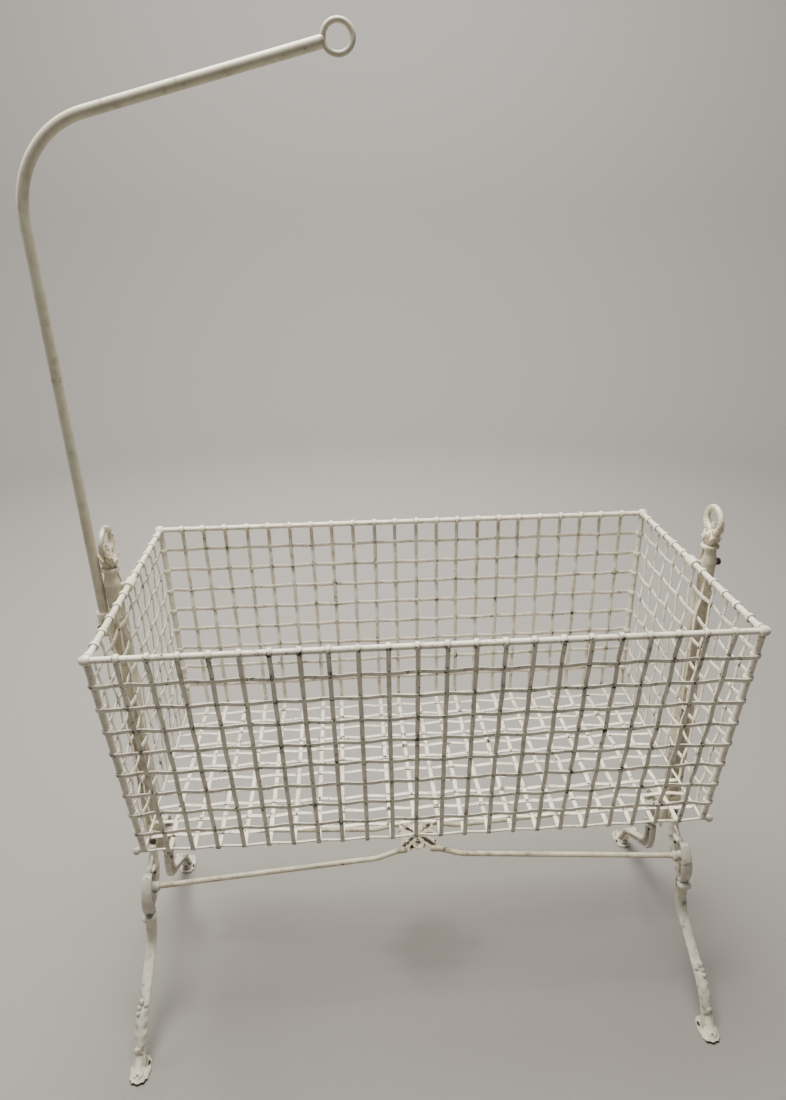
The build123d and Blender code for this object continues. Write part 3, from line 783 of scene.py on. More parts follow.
@dataclass
class WovenBasket:
    """The lattice basket, woven of flat strips that curl round its rods.

    Attributes:
        strip_width: Across a strip.
        strip_thickness: Through a strip.
        rows: Cells down a side.
        long_bays: Cells along the front.
        end_bays: Cells along an end.
        cell: Size of a cell.
        flat: Share of a cell beside each crossing where a strip lies flat.
        play: Room between two strips at a crossing.
        corner_radius: Radius of the corner rods.
        wander: How far an upright strays from its place.
        sag: How far a level strip strays from its line.
        seed: Start of the random numbers.
        rim: Half length and half width between the rim rods' axes, and their height.
        floor: The same for the bottom rods.
    """

    strip_width: float = 7.0 * MM
    strip_thickness: float = 1.9 * MM
    rows: int = 9
    long_bays: int = 23
    end_bays: int = 12
    cell: float = 40.0 * MM
    flat: float = 0.16
    play: float = 0.3 * MM
    corner_radius: float = 5.2 * MM
    wander: float = 0.9 * MM
    sag: float = 0.5 * MM
    seed: int = 11
    rim: Array = field(init=False)
    floor: Array = field(init=False)

    def __post_init__(self) -> None:
        """Read the rods' places from the frame."""
        front, right = middle("front_rim_rod"), middle("right_rim_rod")
        low, high = middle("front_bottom_rod"), middle("right_bottom_rod")
        self.centre_x = float(front[0])
        self.rim = np.array([right[0] - front[0], -front[1], front[2]])
        self.floor = np.array([high[0] - low[0], -low[1], low[2]])
        self.rim_radius = self.rod_radius("front_rim_rod")
        self.floor_radius = self.rod_radius("front_bottom_rod")
        self.swell = self.strip_thickness / 2.0 + self.play
        self.random = np.random.default_rng(self.seed)

    @staticmethod
    def rod_radius(node: str) -> float:
        """Half the height of a level rod's box."""
        low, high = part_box(node)
        return (high.z - low.z) / 2.0

    def panels(self) -> list[Panel]:
        """The four sides."""
        rim, floor = self.rim, self.floor
        made = []
        for side in Side:
            made.append(Panel(side.word, Y_AXIS * side.value, X_AXIS, rim[1], floor[1],
                              rim[0], floor[0], self.long_bays))
        for end in End:
            made.append(Panel(end.word, X_AXIS * end.value, Y_AXIS, rim[0], floor[0],
                              rim[1], floor[1], self.end_bays))
        return made

    def outline(self, reach_top: float, reach_floor: float, bays: int) -> tuple[Array, ...]:
        """The line a hoop follows over a cross section of the basket.

        It curls round the rim rod, runs down the side, turns under the bottom rod, crosses the
        floor and goes up the other side. Its parameter p is -1..0 on the curl, 0..rows down
        the side, then one unit round the bottom rod and one for each cell of the floor.

        Args:
            reach_top: From the middle to the rim rod's axis.
            reach_floor: From the middle to the bottom rod's axis.
            bays: Cells of the floor that the hoop crosses.

        Returns:
            Base points (n, 2) on the rods' axes plane, outward directions (n, 2), parameters
            (n,), and shares of the slope (n,).
        """
        top = np.array([reach_top, self.rim[2]])
        foot = np.array([reach_floor, self.floor[2]])
        down = unit(foot - top)
        face = np.array([-down[1], down[0]])
        curl = np.linspace(CURL, 0.0, 15)
        curl_way = -np.sin(curl)[:, None] * down + np.cos(curl)[:, None] * face
        share = np.linspace(0.0, 1.0, self.rows * 7 + 1)[1:]
        bend = np.linspace(math.atan2(face[1], face[0]), -math.pi / 2.0, 7)[1:]
        cells = np.linspace(0.0, bays / 2.0, int(bays * 3.5) + 1)[1:]
        floor = np.stack([reach_floor * (1.0 - 2.0 * cells / bays),
                          np.full(len(cells), self.floor[2])], -1)
        base = np.concatenate([
            np.broadcast_to(top, (len(curl), 2)), top + (foot - top) * share[:, None],
            np.broadcast_to(foot, (len(bend), 2)), floor,
        ])
        way = np.concatenate([
            curl_way, np.broadcast_to(face, (len(share), 2)),
            np.stack([np.cos(bend), np.sin(bend)], -1),
            np.broadcast_to(np.array([0.0, -1.0]), (len(cells), 2)),
        ])
        count = self.rows + 1
        number = np.concatenate([
            np.linspace(-1.0, 0.0, len(curl)), share * self.rows,
            self.rows + np.linspace(0.0, 1.0, 7)[1:], count + cells,
        ])
        slope = np.concatenate([np.zeros(len(curl)), share, np.ones(len(bend) + len(cells))])
        last = 2.0 * (count + bays / 2.0)
        mirror = np.array([-1.0, 1.0])
        base = np.concatenate([base, (base * mirror)[-2::-1]])
        way = np.concatenate([way, (way * mirror)[-2::-1]])
        number = np.concatenate([number, last - number[-2::-1]])
        return base, way, number, np.concatenate([slope, slope[-2::-1]])

    def weave(self, number: Array, held: Array) -> Array:
        """Stand-off along a strip, eased between its values at the crossings.

        Args:
            number: Parameters (n,), whole at the crossings.
            held: Stand-off at each whole parameter from -1 on, (k, c).

        Returns:
            Stand-off (k, n).
        """
        low = np.clip(np.floor(number).astype(int) + 1, 0, held.shape[1] - 2)
        part = ease((number + 1.0 - low - self.flat) / (1.0 - 2.0 * self.flat))
        return held[:, low] * (1.0 - part) + held[:, low + 1] * part

    def crossing_masks(self, number: Array, count: int) -> tuple[Array, Array]:
        """Masks near each crossing along a strip.

        Args:
            number: Parameters (n,).
            count: The last whole parameter.

        Returns:
            Crossing mask, and crevice mask for the shade painted, with soiling, into the gap beside
            each crossing; each (n, 1).
        """
        away = np.abs(number - np.round(number)) * self.cell
        inside = (number > -0.5) & (number < count - 0.5)
        crossing = bump_at(away, 0.0, 3.6 * MM) * inside
        # Painted shade, with soiling: a dark band in the gap beside each crossing.
        crevice_shade_and_dirt = bump_at(away, 3.6 * MM, 1.5 * MM) * inside
        return crossing[:, None], crevice_shade_and_dirt[:, None]

    def hoops(self, across_x: bool) -> Shell:
        """All strips that run over the basket one way, from rim to rim.

        The point on strip i is base(p) + way(p) h_i(p), with h woven over and under.

        Args:
            across_x: True for the strips that cross X, from front to rear.

        Returns:
            The strips as one shell.
        """
        a, b = (1, 0) if across_x else (0, 1)
        strips = self.long_bays if across_x else self.end_bays
        bays = self.end_bays if across_x else self.long_bays
        base, way, number, share = self.outline(self.rim[a], self.floor[a], bays)
        i = np.arange(1, strips)[:, None]
        rods = (self.rim_radius, self.floor_radius)
        rails = np.arange(1, self.rows)[None, :]
        turn = 1.0 if across_x else -1.0
        side = np.interp(rails / self.rows, [0.0, 1.0], rods)
        side = side + self.swell * (-1.0) ** (i + rails)
        cells = np.arange(1, bays)[None, :]
        under = rods[1] + self.swell * turn * (-1.0) ** (i + cells)
        top = np.full((len(i), 2), rods[0] + self.swell)
        foot = np.full((len(i), 2), rods[1] + self.swell)
        held = np.concatenate([top, side, foot, under, foot, side[:, ::-1], top], 1)
        off = self.weave(number, held)
        place = (2.0 * i / strips - 1.0) * (self.rim[b] + (self.floor[b] - self.rim[b]) * share)
        drift = self.random.uniform(-1.0, 1.0, (len(i), 3))
        phase = 3.6 * drift[:, 2:]
        place = place + self.wander * (drift[:, :1] + drift[:, 1:2] * np.sin(number * 0.55 + phase))
        over = base[:, 0] + way[:, 0] * off
        height = base[:, 1] + way[:, 1] * off
        if across_x:
            path = np.stack([place + self.centre_x, -over, height], -1)
        else:
            path = np.stack([over * -1.0 + self.centre_x, place, height], -1)
        profile = soft_box(self.strip_width, self.strip_thickness, 3.4, 10)
        grid = sweep(path, X_AXIS if across_x else Y_AXIS, profile)
        crossing, crevice_shade_and_dirt = self.crossing_masks(number, int(number[-1]))
        return Shell(grid, crossing, crevice_shade_and_dirt)

    def rails(self, panel: Panel) -> Shell:
        """The level strips of one side, curled round its corner rods.

        The point at parameter p is panel(w(p), share) + face n(p).

        Args:
            panel: The side.

        Returns:
            The strips as one shell.
        """
        top = panel.outward * panel.reach_top + Z_AXIS * self.rim[2]
        foot = panel.outward * panel.reach_bottom + Z_AXIS * self.floor[2]
        down = unit(foot - top)
        face = unit(panel.outward - down * np.dot(panel.outward, down))
        turns = np.linspace(CURL, 0.0, 13)
        run = np.linspace(0.0, panel.bays, panel.bays * 7 + 1)[1:-1]
        number = np.concatenate([
            np.linspace(-1.0, 0.0, 13), run, panel.bays + np.linspace(0.0, 1.0, 13)
        ])
        knots = np.arange(panel.bays + 1)
        centre = X_AXIS * self.centre_x
        paths = []
        for row in range(1, self.rows):
            share = row / self.rows
            half = panel.half_top + (panel.half_bottom - panel.half_top) * share
            spots = (2.0 * knots / panel.bays - 1.0) * half
            along = np.interp(np.clip(number, 0.0, panel.bays), knots, spots)
            plane = self.rim_radius + (self.floor_radius - self.rim_radius) * share
            held = plane - self.swell * (-1.0) ** (knots + row)
            held[0] = held[-1] = self.corner_radius + self.swell
            held = np.concatenate([held[:1], held, held[-1:]])[None]
            off = self.weave(number, held)[0]
            lean = np.zeros(len(number))
            lean[:13] = -turns
            lean[-13:] = turns[::-1]
            sag = self.sag * np.sin(number * 0.8 + row * 2.1)
            path = (top + (foot - top) * share + centre)[None]
            path = path + panel.along * (along + np.sin(lean) * off)[:, None]
            path = path + face * (np.cos(lean) * off)[:, None] + down * sag[:, None]
            paths.append(path)
        profile = soft_box(self.strip_width * 0.94, self.strip_thickness, 3.4, 10)
        grid = sweep(np.stack(paths), down, profile)
        crossing, crevice_shade_and_dirt = self.crossing_masks(number, panel.bays)
        return Shell(grid, crossing, crevice_shade_and_dirt)

    def rod(self, node: str, along_x: bool, radius: float, curls: Array) -> Shell:
        """A level rod, slightly uneven, with shade painted, along with soiling, beside each curl.

        The tube is p(s, v) = axis(s) + r (1 + 0.012 sin(37 s) ) (cos v, sin v).

        Args:
            node: The CAD node that gives its ends.
            along_x: True where it runs along X.
            radius: Its radius.
            curls: Places of the curls along it.

        Returns:
            The rod.
        """
        low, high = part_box(node)
        axis = 0 if along_x else 1
        place = np.arange(low[axis], high[axis], 2.2 * MM)
        place = np.append(place, high[axis])
        path = np.tile(middle(node), (len(place), 1))
        path[:, axis] = place
        if radius < 3.0 * MM:
            path[:, 2] += 0.9 * MM * np.cos(math.pi * (place - curls[0]) / (curls[1] - curls[0]))
        away = np.abs(place[:, None] - curls[None, :]).min(1)
        # Painted shade, with soiling, on the rod right beside each curl of a strip.
        crevice_shade_and_dirt = bump_at(away, self.strip_width / 2.0 + 0.9 * MM, 1.1 * MM)[:, None]
        scale = (1.0 + 0.012 * np.sin(place * 37.0))[:, None, None]
        profile = soft_box(2.0 * radius, 2.0 * radius, 2.0, 14) * scale
        across = Y_AXIS if along_x else X_AXIS
        return Shell(sweep(path, across, profile), 0.0, crevice_shade_and_dirt)

    def corner_eyes(self) -> list[Shell]:
        """Each rim corner: the end rod flattened to an eye round the long rod, with a band."""
        eye = turned(np.array([4.8, 6.6, 7.6, 7.9, 7.6, 6.6, 4.8]) * MM,
                     np.array([-6.0, -5.6, -4.0, 0.0, 4.0, 5.6, 6.0]) * MM, 24)
        band = turned(np.array([4.6, 6.0, 6.7, 6.7, 6.0, 4.6]) * MM,
                      np.array([-3.6, -3.2, -1.6, 1.6, 3.2, 3.6]) * MM, 22)
        height = self.rim[2]
        shells = []
        for end in End:
            for side in Side:
                x = self.centre_x + end.value * self.rim[0]
                y = side.value * self.rim[1]
                grid = np.stack([eye[..., 2] + x, eye[..., 0] + y, eye[..., 1] + height], -1)
                shells.append(Shell(grid, 0.0, 0.1))
                head = pebble((x + end.value * 6.4 * MM, y, height),
                              (3.2 * MM, 5.8 * MM, 5.8 * MM), 2.2, 9)
                shells.append(Shell(head, 0.3, 0.2))
                shift = y - side.value * 11.5 * MM
                grid = np.stack([band[..., 0] + x, band[..., 2] + shift, band[..., 1] + height], -1)
                shells.append(Shell(grid, 0.0, 0.1))
        return shells

    def build(self, dresser: Dresser) -> None:
        """Make the basket's pieces and dress them.

        Args:
            dresser: Gives each piece its finish.
        """
        enamel, body = Finish.BASKET, Body.BASKET
        cross = lay_shells("cross_hoops", [self.hoops(True)])
        dresser.dress(cross, enamel, body,
                      ["front_upright_strips", "rear_upright_strips", "floor_cross_strips"])
        long = lay_shells("end_hoops", [self.hoops(False)])
        dresser.dress(long, enamel, body,
                      ["left_upright_strips", "right_upright_strips", "floor_long_strips"])
        for panel in self.panels():
            piece = lay_shells(f"{panel.name}_rails", [self.rails(panel)])
            dresser.dress(piece, enamel, body, [f"{panel.name}_level_strips"])
            along_x = panel.bays == self.long_bays
            share = 2.0 * np.arange(1, panel.bays) / panel.bays - 1.0
            shift = self.centre_x if along_x else 0.0
            for level, radius, half in (
                ("rim", self.rim_radius, panel.half_top),
                ("bottom", self.floor_radius, panel.half_bottom),
            ):
                node = f"{panel.name}_{level}_rod"
                shell = self.rod(node, along_x, radius, share * half + shift)
                piece = lay_shells(f"{panel.name}_{level}_bar", [shell])
                dresser.dress(piece, enamel, body, [node])
        for side in Side:
            for end in End:
                dresser.keep(f"{side.word}_{end.word}_corner_rod", enamel)
        dresser.dress(lay_shells("rim_corner_eyes", self.corner_eyes()), enamel, body,
                      ["rim_corner_collars"])
        dresser.keep("bottom_corner_knobs", enamel)
        for node in ("left_pivot_pin", "right_pivot_pin"):
            piece = softened(node.replace("pivot_pin", "pivot_lug"), node, 1.0 * MM)
            dresser.dress(piece, enamel, body, [node])
        dresser.keep("right_pivot_cap", Finish.IRON)


# ---------------------------------------------------------------- stand


@dataclass
class CastLeg:
    """One leg casting: scroll, inner leaf, knee collar, ribbed strap, shin leaf and foot.

    It is worked out in its own plane as (width, out, up) and placed by a mirror, a shift to
    its post and the splay x = post + (hub - z) tan(splay).

    Attributes:
        end: Left or right.
        side: Front or rear.
        hub: Height of the leg bolt.
        knee: Knee collar's place (out, up).
        splay: Lean outwards in degrees.
        knee_arc: Radius in millimetres and turn in degrees of the bend below the collar.
        ankle_arc: The same for the bend above the foot.
        scroll_turns: Degrees of the scroll's first heading, of its bow and of its curl.
        scroll_length: Length of the scroll's line.
        curl_share: Share of that length where the curl begins.
        foot_half: Half sizes of the foot's plate (x, y).
        foot_inset: From the leg's outer limits in to the middle of the plate (x, y).
        bolt_face: From the post's middle out to its face.
        cup: Place of the stretcher's cup (y, z).
    """

    end: End
    side: Side
    hub: float = 306.0 * MM
    knee: tuple[float, float] = (79.5 * MM, 193.0 * MM)
    splay: float = 3.2
    knee_arc: tuple[float, float] = (60.0, 57.0)
    ankle_arc: tuple[float, float] = (90.0, 27.0)
    scroll_turns: tuple[float, float, float] = (52.0, 76.0, 275.0)
    scroll_length: float = 108.0 * MM
    curl_share: float = 0.76
    foot_half: tuple[float, float] = (16.6 * MM, 26.0 * MM)
    foot_inset: tuple[float, float] = (16.5 * MM, 23.0 * MM)
    bolt_face: float = 12.0 * MM
    cup: tuple[float, float] = (69.4 * MM, 247.1 * MM)

    @property
    def name(self) -> str:
        """The leg's CAD node."""
        return f"{self.end.word}_{self.side.word}_leg"

    def place(self, grid: Array) -> Array:
        """Points in the leg's plane put where the leg stands.

        Args:
            grid: Points (width, out, up).

        Returns:
            Points in the row frame.
        """
        post = float(middle(f"{self.end.word}_post")[0])
        lean = (self.hub - grid[..., 2]) * math.tan(math.radians(self.splay))
        x = post + self.end.value * (lean + grid[..., 0])
        return np.stack([x, self.side.value * grid[..., 1], grid[..., 2]], -1)

    def lump(self, centre: Sequence[float], radii: Point, power: float, rows: int = 10,
             crevice_shade_and_dirt: Array | float = 0.0, bare: float = 0.0) -> Shell:
        """A pebble put where the leg stands.

        Args:
            centre: Its middle (width, out, up).
            radii: Its half sizes in millimetres.
            power: 2 gives an ellipsoid, more gives a squarer block.
            rows: Rings from pole to pole.
            crevice_shade_and_dirt: Mask for painted shade and soiling.
            bare: Mask for lost enamel, also used to paint the shade inside a hole as dark iron.

        Returns:
            The lump.
        """
        grid = pebble(centre, np.array(radii) * MM, power, rows)
        return Shell(self.place(grid), 0.0, crevice_shade_and_dirt, False, bare)

    @staticmethod
    def lift(curve: Array) -> Array:
        """A plane curve (out, up) as points (0, out, up)."""
        return np.concatenate([np.zeros((len(curve), 1)), curve], 1)

    def shin_curve(self) -> Array:
        """The leg's line from the collar to the foot.

        Heading from -90 degrees, turned out by 57 degrees over the knee's arc, held along the
        shin, and turned down by 27 degrees over the ankle's arc.

        Returns:
            Points (n, 2).
        """
        arcs = [radius * math.radians(turn) for radius, turn in (self.knee_arc, self.ankle_arc)]
        lengths = np.array([26.0, arcs[0], 85.0, arcs[1], 42.0])
        stops = np.concatenate([[0.0], np.cumsum(lengths)]) * MM
        shin = self.knee_arc[1] - 90.0
        foot = shin - self.ankle_arc[1]
        marks = np.radians([-90.0, -90.0, shin, shin, foot, foot])
        s = np.linspace(0.0, stops[-1], 90)
        return heading_path(self.knee, np.interp(s, stops, marks), float(stops[-1]))

    def strap(self) -> Shell:
        """The leg's T-shaped bar: a wide outer strap, a thin web and an inner bead."""
        half = np.array([
            (0.0, -7.8), (4.4, -7.6), (6.0, -6.6), (5.6, -5.7), (2.2, -5.1), (2.2, 0.2),
            (3.6, 1.3), (7.8, 1.6), (9.0, 2.8), (9.0, 5.1), (7.9, 6.2), (4.0, 6.8), (0.0, 7.0),
        ])
        profile = mirrored(half)
        curve = self.shin_curve()
        u = np.linspace(0.0, 1.0, len(curve))
        wide = 1.0 + 0.2 * ease((u - 0.75) / 0.25) + 0.12 * bump_at(u, 0.0, 0.06)
        deep = 1.0 + 1.15 * (1.0 - ease((u - 0.12) / 0.55)) - 0.25 * ease((u - 0.8) / 0.2)
        profile = np.broadcast_to(profile, (len(u), *profile.shape)).copy()
        inner = np.minimum(profile[..., 1], 0.0)
        profile[..., 1] += inner * (deep - 1.0)[:, None]
        profile[..., 0] *= wide[:, None]
        grid = sweep(self.lift(curve), -X_AXIS, profile)
        # Painted shade, with soiling, in the grooves beside the strap's thin web.
        recess = np.abs(profile[..., 0]) < 4.8 * MM
        crevice_shade_and_dirt = recess * (profile[..., 1] < 1.8 * MM) * (inner > -6.0 * MM) * 0.6
        return Shell(self.place(grid), 0.0, crevice_shade_and_dirt)

    def shin_leaf(self) -> list[Shell]:
        """The long leaf on the strap's lower half, with knobs at its head and a knuckle below."""
        line = beside(self.shin_curve(), 6.4 * MM)[53:82]
        grid, groove = leaf(self.lift(line), -X_AXIS, 11.6 * MM, 5.6 * MM, 5.0, 0.5, 0.55)
        shells = [Shell(self.place(grid), 0.0, groove * 0.9)]
        for index, x, size in ((1, 4.0, 5.6), (4, 6.0, 4.6), (7, 6.6, 3.8), (3, -4.5, 3.6)):
            spot = (x * MM, line[index, 0] + 1.6 * MM, line[index, 1] + 1.0 * MM)
            shells.append(self.lump(spot, (size, size * 1.2, size * 1.1), 2.2, 8, 0.3))
        shells.append(self.lump((3.0 * MM, *line[-3]), (6.6, 5.4, 7.0), 2.2, 8, 0.25))
        return shells

    def scroll_curve(self) -> Array:
        """The C-shaped scroll from the collar up to its curled tip.

        Heading turns evenly through the bow, then faster into the curl.

        Returns:
            Points (n, 2).
        """
        s = np.linspace(0.0, 1.0, 70)
        first, bow, curl = np.radians(self.scroll_turns)
        share = self.curl_share
        heading = first + bow * np.clip(s / share, 0.0, 1.0)
        heading = heading + curl * np.clip((s - share) / (1.0 - share), 0.0, 1.0) ** 1.5
        start = (self.knee[0] + 1.5 * MM, self.knee[1] + 3.0 * MM)
        return heading_path(start, heading, self.scroll_length)

    def scroll(self) -> Shell:
        """The scroll's band, with a groove along each edge."""
        half = np.array([
            (0.0, -3.2), (5.0, -3.1), (8.6, -2.6), (9.4, -1.2), (8.4, 0.0), (9.4, 1.2),
            (8.8, 2.7), (5.0, 3.5), (0.0, 3.9),
        ])
        profile = mirrored(half)
        curve = self.scroll_curve()
        u = np.linspace(0.0, 1.0, len(curve))
        wide = 0.86 + 0.16 * np.sin(math.pi * np.clip(u / 0.8, 0, 1)) - 0.22 * ease((u - 0.8) / 0.2)
        thick = 1.0 - 0.45 * ease((u - 0.7) / 0.3)
        profile = profile[None] * np.stack([wide, thick], -1)[:, None]
        # Painted shade, with soiling, along the grooves at the band's edges.
        groove = (np.abs(profile[..., 1]) < 0.9 * MM) * 0.9
        return Shell(self.place(sweep(self.lift(curve), X_AXIS, profile)), 0.0, groove)

    def leaf_curve(self) -> Array:
        """The inner leaf's line, bowed the other way, from the post's pad to the collar."""
        top = np.array([25.0 * MM, 300.0 * MM])
        foot = np.array([self.knee[0] - 2.0 * MM, self.knee[1] + 4.0 * MM])
        pull = np.array([23.0 * MM, 238.0 * MM])
        return bent_line(top, pull, foot, 34)

    def inner_leaf(self) -> list[Shell]:
        """A thick leaf inside the scroll and a scalloped leaf on the scroll's hollow side."""
        curve = self.leaf_curve()
        grid, groove = leaf(self.lift(curve), X_AXIS, 12.6 * MM, 9.0 * MM, 6.0, 0.5, 0.5)
        shells = [Shell(self.place(grid), 0.0, groove)]
        inner = beside(self.scroll_curve()[6:52], 4.0 * MM)
        grid, groove = leaf(self.lift(inner), X_AXIS, 11.0 * MM, 4.5 * MM, 6.0, 0.55, 0.4)
        return [*shells, Shell(self.place(grid), 0.0, groove)]

    def web(self) -> Shell:
        """The thin plate between leaf and scroll.

        Its section at u is a soft box 5 mm thick from leaf(u) to scroll(u).

        Returns:
            The plate.
        """
        near = self.leaf_curve()[4:][::-1]
        far = self.scroll_curve()[:48]
        t = np.linspace(0.0, 1.0, 20)
        a, b = (
            np.stack([np.interp(t, np.linspace(0, 1, len(line)), line[:, i]) for i in (0, 1)], -1)
            for line in (near, far)
        )
        v = ring_angles(12)
        share = 0.5 + 0.5 * signed_power(np.cos(v), 0.5)
        thick = 2.4 * MM * signed_power(np.sin(v), 0.5)
        flat = a[:, None] * (1 - share)[None, :, None] + b[:, None] * share[None, :, None]
        grid = np.concatenate([np.broadcast_to(thick[None, :, None], (20, 12, 1)), flat], -1)
        # Painted shade, with soiling, over the whole plate sunk between leaf and scroll.
        return Shell(self.place(grid), 0.0, 0.55)

    def lumps(self) -> list[Shell]:
        """Knee collar with two beads, the lug by the scroll, two holes' painted shade and the
        post's pad.
        """
        knee = np.array([0.0, *self.knee])
        hub = np.array([0.0, self.knee[0], self.hub])
        lumps = (
            (knee, (0.0, 8.5, 1.0), (12.6, 10.5, 6.6), 2.5, 10, 0.0, 0.0),
            (knee, (0.0, 1.5, 8.5), (9.6, 7.6, 2.4), 2.6, 10, 0.15, 0.0),
            (knee, (0.0, 1.5, -8.5), (9.4, 8.2, 2.2), 2.6, 10, 0.15, 0.0),
            # Painted shade: a small dark iron lump for the shade inside a hole.
            (knee, (-5.0, -6.5, -15.0), (2.6, 2.2, 3.4), 2.0, 8, 1.0, 1.0),
            (hub, (0.0, -33.0, -40.0), (8.0, 11.0, 6.0), 2.4, 10, 0.0, 0.0),
            # Painted shade: a small dark iron lump for the shade inside a hole.
            (hub, (-6.6, -28.0, -43.0), (3.0, 3.0, 3.4), 2.0, 8, 1.0, 1.0),
        )
        shells = [self.lump(base + np.array(shift) * MM, *rest) for base, shift, *rest in lumps]
        pad = (0.0, self.bolt_face + 3.6 * MM, self.hub)
        return [*shells, self.lump(pad, (8.0, 3.6, 20.0), 5.0, 12)]

    def foot(self) -> Shell:
        """The foot's scalloped plate.

        Plan radius is a superellipse times 1 + 0.045 cos 12 v, drawn in towards its top. Its
        enamel is worn off along the nose.

        Returns:
            The plate.
        """
        low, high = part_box(self.name)
        inward, back = self.foot_inset
        centre_x = low.x + inward if self.end is End.LEFT else high.x - inward
        reach = high.y if self.side is Side.REAR else -low.y
        centre_y = self.side.value * (reach - back)
        v = np.arange(60) * 2.0 * math.pi / 60
        lobe = 1.0 + 0.045 * np.cos(12.0 * v)
        x = signed_power(np.cos(v), 0.72) * self.foot_half[0] * lobe
        y = signed_power(np.sin(v), 0.72) * self.foot_half[1] * lobe
        rows = np.array([
            (0.9, 0.0), (0.97, 0.8), (1.0, 2.2), (0.99, 3.8), (0.93, 5.0), (0.8, 5.6),
            (0.62, 6.0), (0.4, 7.0), (0.2, 8.0),
        ])
        grid = np.stack([
            centre_x + x[None] * rows[:, :1], centre_y + y[None] * rows[:, :1],
            np.broadcast_to(rows[:, 1:] * MM, (len(rows), 60)),
        ], -1)
        # Painted shade, with soiling, on the plate's top round the strap's foot.
        crevice_shade_and_dirt = (rows[:, :1] < 0.85) * (rows[:, 1:] > 5.0) * 0.5
        worn = (6.0 if self.end is End.LEFT else 3.5) * MM
        nose = ease((np.abs(grid[..., 1]) - reach + worn) / (2.0 * MM)) * (grid[..., 2] < 4.5 * MM)
        return Shell(grid, 0.0, crevice_shade_and_dirt, False, nose)

    def toe(self) -> list[Shell]:
        """The rounded end of the strap on the plate, and the ridge that runs down onto it."""
        curve = self.shin_curve()
        end = (curve[-1] + unit(curve[-1] - curve[-4]) * MM)[0]
        half = 21.0 * MM
        grid = pebble((0.0, end + 2.5 * MM, 6.0 * MM), (9.6 * MM, half, 4.0 * MM), 3.2, 14)
        slope = (end - grid[..., 1]) / half
        grid[..., 2] += 9.0 * MM * np.clip(slope, 0.0, 1.0) ** 2
        cleft = bump_at(grid[..., 0], 0.0, 1.6 * MM) * np.clip(-slope, 0.0, 1.0)
        grid[..., 1] -= 7.0 * MM * cleft
        top = curve[-10] + (2.4 * MM, 1.6 * MM)
        pull = np.array([end + 3.0 * MM, 9.0 * MM])
        ridge = bent_line(top, pull, np.array([end + 17.0 * MM, 6.0 * MM]), 18)
        bar = sweep(self.lift(ridge), -X_AXIS, soft_box(13.0 * MM, 9.0 * MM, 2.2, 14))
        # The toe's cleft gets painted shade, with soiling.
        return [Shell(self.place(grid), 0.0, cleft), Shell(self.place(bar))]

    def slot(self) -> Shell:
        """A floor screw's slot in the foot's plate, as a lump painted dark for its shade."""
        spot = (-15.0 * MM, self.shin_curve()[-1, 0] - 4.0 * MM, 5.0 * MM)
        # Painted shade: a dark iron lump for the shade inside the slot.
        return self.lump(spot, (2.2, 5.4, 1.5), 2.2, 8, 1.0, 1.0)

    def boss(self) -> list[Shell]:
        """The cup that takes the stretcher's end, turned about the stretcher's line."""
        low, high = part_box(f"{self.side.word}_{self.end.word}_stretcher")
        end = self.end.value
        tip = high.x if end > 0 else low.x
        start = np.array([tip - end * 10.5 * MM, self.side.value * self.cup[0], self.cup[1]])
        cup = turned(np.array([5.5, 7.8, 8.9, 8.9, 8.2, 8.0, 8.6, 9.5, 10.2]) * MM,
                     np.array([0.0, 0.3, 1.6, 4.0, 5.6, 9.0, 12.0, 16.0, 20.0]) * MM, 24)
        grid = np.stack([cup[..., 2] * end, cup[..., 0], cup[..., 1]], -1) + start
        spot = start + (end * 8.0 * MM, 0.0, -9.5 * MM)
        nut = pebble(spot, (4.2 * MM, 4.2 * MM, 3.0 * MM), 3.0, 8)
        # The nut gets painted shade, with soiling.
        return [Shell(grid), Shell(nut, 0.0, 0.8)]

    def build(self, dresser: Dresser) -> None:
        """Make the leg and dress it.

        Args:
            dresser: Gives the piece its finish.
        """
        shells = [self.strap(), self.scroll(), self.web(), self.foot(), self.slot()]
        shells += self.toe() + self.shin_leaf() + self.inner_leaf() + self.lumps() + self.boss()
        piece = lay_shells(f"{self.name}_casting", shells)
        dresser.dress(piece, Finish.LEG, Body.STAND, [self.name])


